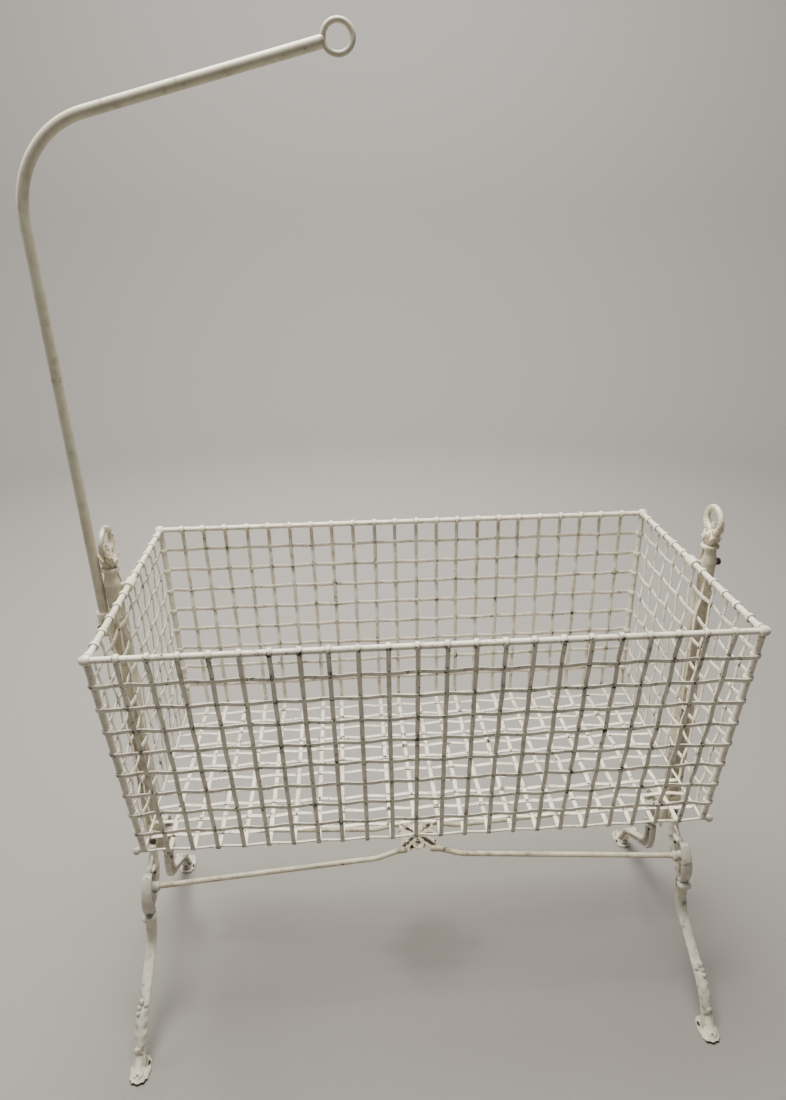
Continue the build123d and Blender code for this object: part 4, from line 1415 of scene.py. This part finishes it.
@dataclass
class Post:
    """An end post with its foot leaves and its finial.

    Attributes:
        end: Left or right.
        ring_width: Outside width of the finial's ring.
        ring_height: Outside height of the ring.
        ring_wall: Width of the ring's band.
        ring_thickness: Through the ring along X.
    """

    end: End
    ring_width: float = 57.0 * MM
    ring_height: float = 49.0 * MM
    ring_wall: float = 9.5 * MM
    ring_thickness: float = 7.5 * MM

    def foot_leaves(self) -> list[Shell]:
        """Leaves on the post's inner and outer faces above the hub."""
        x = float(middle(f"{self.end.word}_post")[0])
        shells = []
        for side in (-1.0, 1.0):
            z = np.linspace(392.0, 256.0, 40) * MM
            u = np.linspace(0.0, 1.0, 40)
            stand = (12.0 + 1.2 * np.sin(math.pi * u)) * MM
            path = np.stack([x + side * stand, np.zeros(40), z], -1)
            grid, groove = leaf(path, Y_AXIS * side, 11.5 * MM, 5.0 * MM, 4.0, 0.56, 0.35)
            shells.append(Shell(grid, 0.0, groove * 0.7))
        return shells

    def finial(self) -> list[Shell]:
        """Turned collar, leafy cup with side knobs, and a flat oval ring with a tongue.

        The cup's radius is r(z) (1 + 0.1 sin(pi u) cos(8 v + 5 u)). The ring's line is the ellipse
        (A cos a, B sin a) in the YZ plane with a soft box profile.

        Returns:
            The finial's surfaces.
        """
        low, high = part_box(f"{self.end.word}_finial")
        place = np.array([float(middle(f"{self.end.word}_post")[0]), 0.0, low.z])
        collar = turned(
            np.array([10.0, 13.2, 14.6, 14.9, 14.2, 12.0, 9.6, 9.4]) * MM,
            np.array([0.0, 0.0, 0.8, 2.6, 4.6, 5.6, 6.2, 7.5]) * MM, 36,
        )
        shells = [Shell(collar + place)]
        heights = np.linspace(6.0, 29.0, 18)
        u = np.linspace(0.0, 1.0, 18)
        bulb = 8.6 + 5.2 * np.sin(math.pi * u**0.8) ** 1.3 - 2.6 * u
        cup = turned(bulb * MM, heights * MM, 48)
        v = np.arange(48) * 2.0 * math.pi / 48
        lobes = np.cos(8.0 * v + 5.0 * u[:, None])
        lobed = cup.copy()
        lobed[..., :2] *= (1.0 + 0.1 * np.sin(math.pi * u)[:, None] * lobes)[..., None]
        # Painted shade, with soiling, in the furrows between the cup's lobes.
        shells.append(Shell(lobed + place, 0.0, np.clip(-lobes, 0.0, 1.0)))
        t = np.linspace(0.0, 1.0, 14)
        for turn in range(8):
            angle = math.radians(22.5 + 45.0 * turn)
            way = np.array([math.cos(angle), math.sin(angle), 0.0])
            z = (7.0 + 14.0 * t + (6.0 if turn % 2 == 0 else 0.0)) * MM
            r = (9.6 + 3.6 * np.sin(math.pi * t * 0.62) ** 2 + 1.4 * t**4) * MM
            path = place + way * r[:, None] + Z_AXIS * z[:, None]
            grid, groove = leaf(path, np.cross(way, Z_AXIS), 6.4 * MM, 3.4 * MM, 3.0, 0.5, 0.4)
            shells.append(Shell(grid, 0.0, groove))
        for side in Side:
            stem = place + np.array([0.0, side.value * 14.6 * MM, 25.0 * MM])
            shells.append(Shell(pebble(stem, (4.2 * MM, 4.6 * MM, 4.4 * MM), 2.1, 9)))
            t = np.linspace(0.0, 1.0, 20)
            rise = np.stack([np.zeros(20), side.value * 25.2 * np.cos(1.3 * t - 1.0),
                             46.5 + 21.0 * np.sin(1.3 * t - 1.0)], -1) * MM
            for face in (-1.0, 1.0):
                path = place + rise + X_AXIS * face * 3.0 * MM
                across = Y_AXIS + 0.4 * Z_AXIS * side.value
                grid, groove = leaf(path, across, 5.4 * MM, 4.0 * MM, 4.0, 0.35, 0.3)
                shells.append(Shell(grid, 0.0, groove))
        a = np.linspace(0.0, 2.0 * math.pi, 73)[:-1]
        half = (self.ring_width - self.ring_wall) / 2.0, (self.ring_height - self.ring_wall) / 2.0
        centre = place + Z_AXIS * (high.z - low.z - self.ring_height / 2.0)
        line = np.stack([np.zeros(72), half[0] * np.cos(a), half[1] * np.sin(a)], -1)
        away = unit(np.stack([np.zeros(72), np.cos(a) / half[0], np.sin(a) / half[1]], -1))
        section = soft_box(self.ring_wall, self.ring_thickness, 3.0, 16)
        waist = 1.0 + 0.07 * np.cos(2.0 * a) - 0.1 * bump_at(np.abs(a - 1.5 * math.pi), 0.0, 0.4)
        x = (section[:, 0][None] * waist[:, None])[..., None]
        ring = line[:, None] + away[:, None] * x + X_AXIS * section[:, 1][None, :, None]
        shells.append(Shell(ring + centre, 0.0, 0.0, True))
        t = np.linspace(0.0, 1.0, 12)
        tongue = centre + Z_AXIS * ((-half[1] + (2.0 + 13.0 * t) * MM)[:, None])
        grid, groove = leaf(tongue, Y_AXIS, 4.6 * MM, 5.5 * MM, 2.0, 0.4, 0.2)
        shells.append(Shell(grid, 0.0, groove))
        return shells

    def build(self, dresser: Dresser) -> None:
        """Make the post's pieces and dress them.

        Args:
            dresser: Gives each piece its finish.
        """
        word = self.end.word
        shaft = softened(f"{word}_post_shaft", f"{word}_post", 0.9 * MM)
        dresser.dress(shaft, Finish.STAND, Body.STAND, [f"{word}_post"])
        leaves = lay_shells(f"{word}_post_leaves", self.foot_leaves())
        dresser.dress(leaves, Finish.STAND, Body.STAND)
        finial = lay_shells(f"{word}_finial_casting", self.finial())
        dresser.dress(finial, Finish.STAND, Body.STAND, [f"{word}_finial"])
        bolt = softened(f"{word}_hub_bolt", f"{word}_leg_bolt", 0.5 * MM)
        dresser.dress(bolt, Finish.IRON, Body.STAND, [f"{word}_leg_bolt"])


@dataclass
class Rosette:
    """The leafy casting where the stretchers meet.

    Attributes:
        leaves: Number of leaves.
        height: Height of its middle.
        reach: Length of a large leaf that points to a socket, and of the others.
        mouth: Place of a socket's mouth from the middle.
    """

    leaves: int = 8
    height: float = 264.0 * MM
    reach: tuple[float, float] = (39.0 * MM, 33.0 * MM)
    mouth: Point = (40.0 * MM, 34.0 * MM, -0.2 * MM)

    def petal(self, centre: Array, angle: float, reach: float, half: float, droop: float) -> Shell:
        """One cupped petal with raised, scalloped edges and a curled tip.

        Across the petal the height is 4.2 mm * body * |side|^2.4. Along it the heading turns
        down by 44 degrees and then, over the last third, up by 80 degrees.

        Args:
            centre: The rosette's middle.
            angle: Direction of the petal in radians.
            reach: Length of its midline.
            half: Largest half width.
            droop: Slope of its middle in degrees.

        Returns:
            The petal, with shade painted in its hollow, partly as dark iron.
        """
        way = np.array([math.cos(angle), math.sin(angle), 0.0])
        u = np.linspace(0.0, 1.0, 30)
        curl = 80.0 * np.clip((u - 0.68) / 0.32, 0.0, 1.0) ** 1.4
        line = heading_path((5.0 * MM, 0.0), np.radians(droop + 16.0 - 44.0 * u + curl), reach)
        path = centre + way * line[:, :1] + Z_AXIS * line[:, 1:]
        v = ring_angles(20)[None, :]
        side = signed_power(np.cos(v), 0.8)
        scallops = 1.0 - 0.2 * np.abs(np.sin(9.4 * u))
        body = (0.34 + 0.66 * np.sin(math.pi * u**1.3) * scallops)[:, None]
        rise = np.sin(v) * 1.5 * MM + 4.2 * MM * body * np.abs(side) ** 2.4
        profile = np.stack([side * half * body, rise * np.ones_like(body)], -1)
        hollow = (np.sin(v) > 0.0) * (1.0 - np.abs(side) ** 1.5) * np.ones_like(body)
        grid = sweep(path, np.cross(Z_AXIS, way), profile)
        # Painted shade in the cupped hollow, darkened and partly shown as dark iron.
        return Shell(grid, 0.0, hollow, False, hollow * 0.62)

    def build(self, dresser: Dresser) -> None:
        """Make the rosette and the stretchers and dress them.

        Args:
            dresser: Gives each piece its finish.
        """
        centre = np.array([middle("stretcher_rosette")[0], 0.0, self.height])
        shells = []
        for index in range(self.leaves):
            angle = math.radians(360.0 / self.leaves * index)
            reach = self.reach[0] if index % 2 == 1 else self.reach[1]
            shells.append(self.petal(centre, angle, reach, 11.5 * MM, 2.0))
            shells.append(self.petal(centre, angle + 0.39, reach - 6.0 * MM, 6.5 * MM, -7.0))
        dome = turned(np.array([10.0, 10.6, 9.6, 7.0, 5.6, 5.8, 4.4, 1.0]) * MM,
                      np.array([-3.5, 0.0, 3.2, 5.2, 6.0, 7.6, 9.4, 10.2]) * MM, 28)
        shells.append(Shell(dome + centre, 0.0, 0.25))
        cup = turned(np.array([4.9, 5.8, 6.0, 5.9, 5.6, 5.6, 4.4]) * MM,
                     np.array([0.0, 0.2, 2.0, 4.0, 6.5, 12.0, 19.0]) * MM, 22)
        for end in End:
            for side in Side:
                mouth = np.array(self.mouth) * (end.value, side.value, 1.0) + centre
                grid = np.stack([cup[..., 2] * -end.value, cup[..., 0], cup[..., 1]], -1)
                shells.append(Shell(grid + mouth, 0.0, 0.15))
        piece = lay_shells("rosette_casting", shells)
        dresser.dress(piece, Finish.STAND, Body.STAND, ["stretcher_rosette"])
        for side in Side:
            for end in End:
                dresser.keep(f"{side.word}_{end.word}_stretcher", Finish.STAND)


@dataclass
class Canopy:
    """The bent pole, its eye and the socket on the left-hand post.

    Attributes:
        ring_radius: Middle radius of the eye.
        wire: Radius of the eye's wire.
        rise: Slope of the pole where it meets the eye, in degrees.
    """

    ring_radius: float = 18.6 * MM
    wire: float = 3.9 * MM
    rise: float = 13.8

    def eye(self) -> Shell:
        """The eye: a torus slightly uneven, r(a) = R (1 + 0.012 cos 2a)."""
        centre = middle("canopy_pole_ring")
        a = np.linspace(0.0, 2.0 * math.pi, 65)[:-1]
        way = np.stack([np.cos(a), np.zeros(64), np.sin(a)], -1)
        radius = self.ring_radius * (1.0 + 0.012 * np.cos(2.0 * a))
        section = soft_box(2.0 * self.wire, 2.0 * self.wire, 2.1, 14)
        notch = 1.0 - 0.1 * bump_at(np.abs(a - math.radians(194.0)), 0.0, 0.06)
        line = centre + way * radius[:, None]
        x, y = ((section[:, i][None] * notch[:, None])[..., None] for i in (0, 1))
        return Shell(line[:, None] + way[:, None] * x + Y_AXIS * y, 0.0, 0.0, True)

    def build(self, dresser: Dresser) -> None:
        """Make the canopy pole's pieces and dress them.

        Args:
            dresser: Gives each piece its finish.
        """
        dresser.keep("canopy_pole_tube", Finish.POLE)
        eye = lay_shells("pole_eye", [self.eye()])
        dresser.dress(eye, Finish.POLE, Body.POLE, ["canopy_pole_ring"])
        centre = middle("canopy_pole_ring")
        rise = math.radians(self.rise)
        way = np.array([math.cos(rise), 0.0, math.sin(rise)])
        spot = centre - way * (self.ring_radius + 2.5 * MM)
        lump = pebble(spot, (4.0 * MM, 7.6 * MM, 7.4 * MM), 2.2)
        # The weld gets painted shade, with soiling, where the pole meets its eye.
        weld = lay_shells("pole_weld", [Shell(lump, 0.0, 0.6)])
        dresser.dress(weld, Finish.POLE, Body.POLE)
        socket = softened("pole_socket_casting", "pole_socket", 0.8 * MM)
        dresser.dress(socket, Finish.STAND, Body.STAND, ["pole_socket"])
        for node in ("pole_socket_screws", "pole_clamp_screw"):
            piece = softened(f"{node}_heads", node, 0.5 * MM)
            dresser.dress(piece, Finish.IRON, Body.STAND, [node])


# ---------------------------------------------------------------- room


@dataclass(frozen=True)
class Lamp:
    """A square area light.

    Attributes:
        name: Its name.
        place: Where it is.
        target: What it points at.
        size: Its side.
        power: In watts.
        tint: Its colour.
    """

    name: str
    place: Point
    target: Point
    size: float
    power: float
    tint: Colour

    def hang(self) -> None:
        """Make the light and turn it to its target."""
        light = bpy.data.lights.new(self.name, "AREA")
        light.size = self.size
        light.energy = self.power
        light.color = self.tint
        back = unit(np.asarray(self.place) - np.asarray(self.target))
        side = unit(np.cross(Z_AXIS + 1e-3 * X_AXIS, back))
        put(self.name, light).matrix_world = pose((side, np.cross(back, side), back), self.place)


@dataclass(frozen=True)
class Room:
    """The pale bowl that the cradle stands in, the lights and the camera.

    Attributes:
        radius: Radius of the wall.
        curve: Radius of the curve between floor and wall.
        height: Height of the wall.
        eye: Camera's place, with X from the basket's middle.
        yaw: Turn to the right in degrees.
        pitch: Tilt upwards in degrees.
        roll: Roll in degrees.
        lens: Focal length in millimetres on a 36 mm long side.
        paper: Colour of the bowl.
        sky: Colour of the light from all round.
        sky_strength: Its strength.
        lamps: One overhead, a weak one from the left and one on the wall.
    """

    radius: float = 5.2
    curve: float = 1.4
    height: float = 3.6
    eye: Point = (-0.1046, -1.1494, 1.3403)
    yaw: float = 3.338
    pitch: float = -22.985
    roll: float = -0.837
    lens: float = 25.684
    paper: Colour = (0.27, 0.255, 0.235)
    sky: Colour = (0.80, 0.88, 1.0)
    sky_strength: float = 0.29
    lamps: tuple[Lamp, ...] = (
        Lamp("key", (-0.3, 0.3, 3.2), (0.0, 0.0, 0.4), 1.6, 225.0, (1.0, 0.96, 0.88)),
        Lamp("side", (-2.8, 0.5, 2.2), (0.0, 0.0, 0.6), 1.4, 30.0, (1.0, 0.99, 0.98)),
        Lamp("wall", (0.0, 2.2, 3.3), (0.0, 5.0, 1.5), 2.6, 260.0, (1.0, 0.99, 0.97)),
    )

    def bowl(self) -> None:
        """The floor and wall as one surface of revolution."""
        flat = np.linspace(0.02, self.radius - self.curve, 12)
        a = np.linspace(0.0, math.pi / 2.0, 14)[1:]
        r = np.concatenate([flat, flat[-1] + self.curve * np.sin(a), [self.radius]])
        z = np.concatenate([np.zeros(12), self.curve * (1.0 - np.cos(a)), [self.height]])
        grid = turned(r, z, 96)
        k, m = grid.shape[:2]
        index = np.arange(k * m).reshape(k, m)
        after = np.roll(index, -1, 1)
        quads = np.stack([index[:-1], index[1:], after[1:], after[:-1]], -1).reshape(-1, 4)
        mesh = bpy.data.meshes.new("floor")
        mesh.from_pydata(grid.reshape(-1, 3).tolist(), [], quads.tolist() + [index[0].tolist()])
        smooth(mesh)
        made = bpy.data.materials.new("floor_paper")
        made.use_nodes = True
        shader = made.node_tree.nodes["Principled BSDF"]
        shader.inputs["Base Color"].default_value = (*self.paper, 1.0)
        shader.inputs["Roughness"].default_value = 0.9
        mesh.materials.append(made)
        put("floor", mesh)

    def light(self) -> None:
        """Hang the lamps under a pale sky."""
        world = bpy.data.worlds.new("sky")
        bpy.context.scene.world = world
        world.use_nodes = True
        sky = world.node_tree.nodes["Background"]
        sky.inputs["Color"].default_value = (*self.sky, 1.0)
        sky.inputs["Strength"].default_value = self.sky_strength
        for lamp in self.lamps:
            lamp.hang()

    def camera(self, centre_x: float) -> None:
        """The camera, turned by yaw, pitch and roll.

        Args:
            centre_x: The basket's middle.
        """
        yaw, pitch, roll = (math.radians(v) for v in (self.yaw, self.pitch, self.roll))
        right = np.array([math.cos(yaw), -math.sin(yaw), 0.0])
        ahead = np.array([
            math.sin(yaw) * math.cos(pitch), math.cos(yaw) * math.cos(pitch), math.sin(pitch)
        ])
        up = np.cross(right, ahead)
        side = right * math.cos(roll) + up * math.sin(roll)
        top = -right * math.sin(roll) + up * math.cos(roll)
        data = bpy.data.cameras.new("camera")
        data.sensor_width = 36.0
        data.sensor_fit = "AUTO"
        data.lens = self.lens
        data.clip_start, data.clip_end = 0.02, 60.0
        camera = put("camera", data)
        place = (self.eye[0] + centre_x, self.eye[1], self.eye[2])
        camera.matrix_world = pose((side, top, -ahead), place)
        bpy.context.scene.camera = camera


def build_scene() -> None:
    """Load the frame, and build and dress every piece."""
    logging.basicConfig(level=logging.INFO, format="%(name)s %(message)s")
    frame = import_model()
    frame_nodes.update(frame["nodes"])
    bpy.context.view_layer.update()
    dresser = Dresser()
    basket = WovenBasket()
    basket.build(dresser)
    for end in End:
        Post(end).build(dresser)
        for side in Side:
            CastLeg(end, side).build(dresser)
    Rosette().build(dresser)
    Canopy().build(dresser)
    room = Room()
    room.bowl()
    room.light()
    room.camera(basket.centre_x)


if __name__ == "__main__":
    build_scene()
